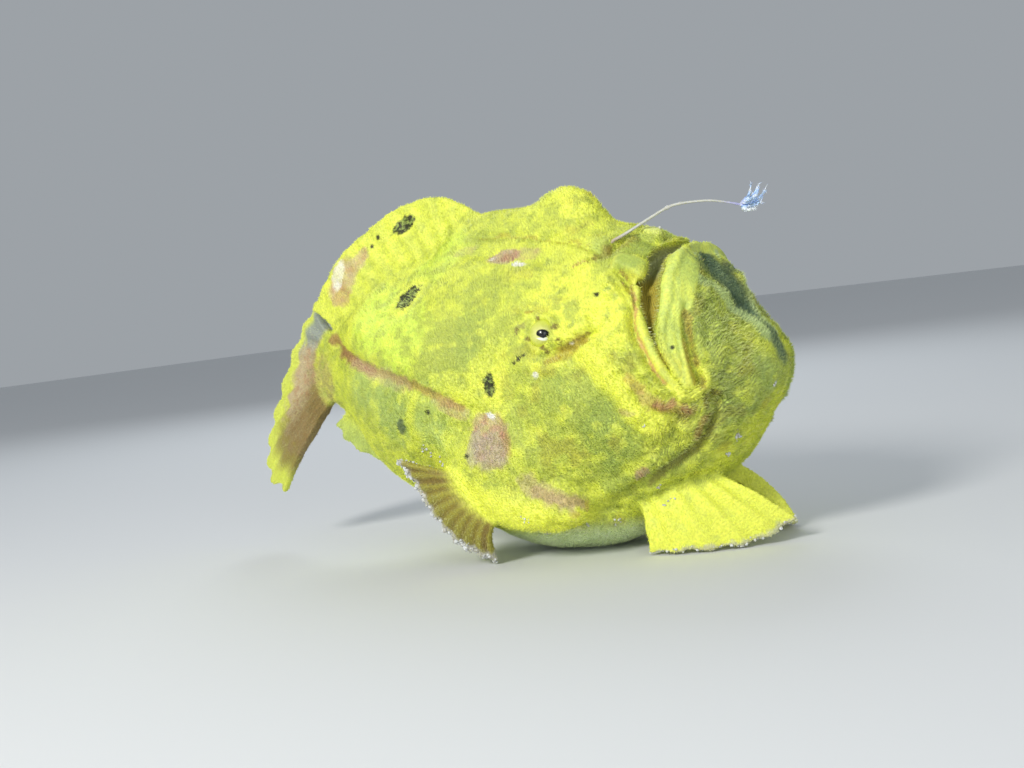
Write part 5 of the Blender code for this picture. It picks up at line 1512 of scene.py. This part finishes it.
def make_camera():
    """The photo's view: three quarters on from the fish's right and front, just above the floor."""
    yaw, elevation, roll = math.radians(35.0), math.radians(3.0), math.radians(-7.0)
    distance = 0.26
    shift = (-0.0077, -0.0005)
    centre = Vector((0, 0, 0.032 - FLOOR * MM))
    back = Vector(
        (math.sin(yaw) * math.cos(elevation), -math.cos(yaw) * math.cos(elevation), math.sin(elevation))
    )
    level = (-back).to_track_quat("-Z", "Y")
    right = level @ Vector((1, 0, 0))
    up = level @ Vector((0, 1, 0))
    turned_right = right * math.cos(roll) + up * math.sin(roll)
    turned_up = up * math.cos(roll) - right * math.sin(roll)
    data = bpy.data.cameras.new("camera")
    data.lens = 51.0
    data.sensor_width = 36.0
    data.clip_start = 0.001
    camera = bpy.data.objects.new("camera", data)
    bpy.context.scene.collection.objects.link(camera)
    view = Matrix((turned_right, turned_up, back)).transposed().to_4x4()
    view.translation = centre + back * distance + turned_right * shift[0] + turned_up * shift[1]
    camera.matrix_world = view
    bpy.context.scene.camera = camera
    return camera


def area_light(name, place, aim, size, power, colour):
    data = bpy.data.lights.new(name, "AREA")
    data.shape = "DISK"
    data.size = size
    data.energy = power
    data.color = colour
    lamp = bpy.data.objects.new(name, data)
    bpy.context.scene.collection.objects.link(lamp)
    lamp.location = place
    lamp.rotation_euler = (Vector(aim) - Vector(place)).to_track_quat("-Z", "Y").to_euler()


def make_studio():
    """A pale floor that runs on to the horizon, a soft key light near the camera and a pale sky."""
    half = 3.0
    mesh = bpy.data.meshes.new("floor")
    mesh.from_pydata([(-half, -half, 0), (half, -half, 0), (half, half, 0), (-half, half, 0)], [], [(0, 1, 2, 3)])
    floor = bpy.data.objects.new("floor", mesh)
    bpy.context.scene.collection.objects.link(floor)
    ground = bpy.data.materials.new("pale_floor")
    ground.use_nodes = True
    shader = ground.node_tree.nodes["Principled BSDF"]
    shader.inputs["Base Color"].default_value = (0.72, 0.73, 0.74, 1)
    shader.inputs["Roughness"].default_value = 0.8
    mesh.materials.append(ground)
    world = bpy.data.worlds.new("studio")
    world.use_nodes = True
    world.node_tree.nodes["Background"].inputs["Color"].default_value = (0.80, 0.86, 0.92, 1)
    world.node_tree.nodes["Background"].inputs["Strength"].default_value = 0.42
    bpy.context.scene.world = world
    bpy.context.scene.view_settings.view_transform = "Standard"
    area_light("key", (-0.02, -0.50, 0.30), (0, 0, 0.03), 0.14, 2.45, (1.0, 0.99, 0.95))
    area_light("fill", (0.45, -0.38, 0.16), (0.02, 0, 0.03), 0.3, 0.65, (0.92, 0.97, 1.0))
    area_light("rim", (-0.3, 0.4, 0.4), (0, 0, 0.04), 0.3, 0.9, (0.9, 0.96, 1.0))


def main():
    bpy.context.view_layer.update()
    make_camera()
    make_studio()
    fins = {name: fin_grid(plan) for name, plan in FINS.items()}
    skin = one_skin(fins)
    points, normals, place = shape_skin(skin, fins)
    colours = markings(points, place, surface_finder(points))
    row = row_numbers(points)
    left = on_left(points)
    olive = 1 - step(0.35, 0.75, colours @ np.array((0.3, 0.6, 0.1)))
    velvet = (1 - lip_share(left)) * (0.35 + 0.35 * olive + 0.6 * jaw_share(left)) * (1 - 0.5 * place["on_fin"])
    paint_points(skin.data, colours)
    store_numbers(skin.data, "row", row)
    store_numbers(skin.data, "velvet", velvet)
    skin.data.polygons.foreach_set("use_smooth", np.full(len(skin.data.polygons), True))
    skin.data.materials.clear()
    skin.data.materials.append(velvet_material())
    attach(skin, "root")
    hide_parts(*(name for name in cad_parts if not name.startswith(("eye", "illicium", "esca"))))
    count = grow_coat(skin, points, normals, place, colours, row)
    tree = BVHTree.FromPolygons([Vector(p) for p in points], read_faces(skin.data, 4).tolist())
    wet = painted_material("eye_surface", 0.25, 0.0, 0.03, 0.0, coat=0.15)
    make_eye("eye_left", 1, wet)
    make_eye("eye_right", -1, wet)
    make_rod(painted_material("rod_skin", 0.45, 0.1, 0.08, 0.3))
    make_tuft(painted_material("tuft_threads", 0.4, 0.15, 0.05, 0.0))
    make_teeth(tree, painted_material("tooth", 0.3, 0.1, 0.03, 0.0))
    make_silt(tree, fins, painted_material("silt_grains", 0.8, 0.0, 0.15, 0.5))
    print("skin faces", len(skin.data.polygons), "spinules", count)


main()
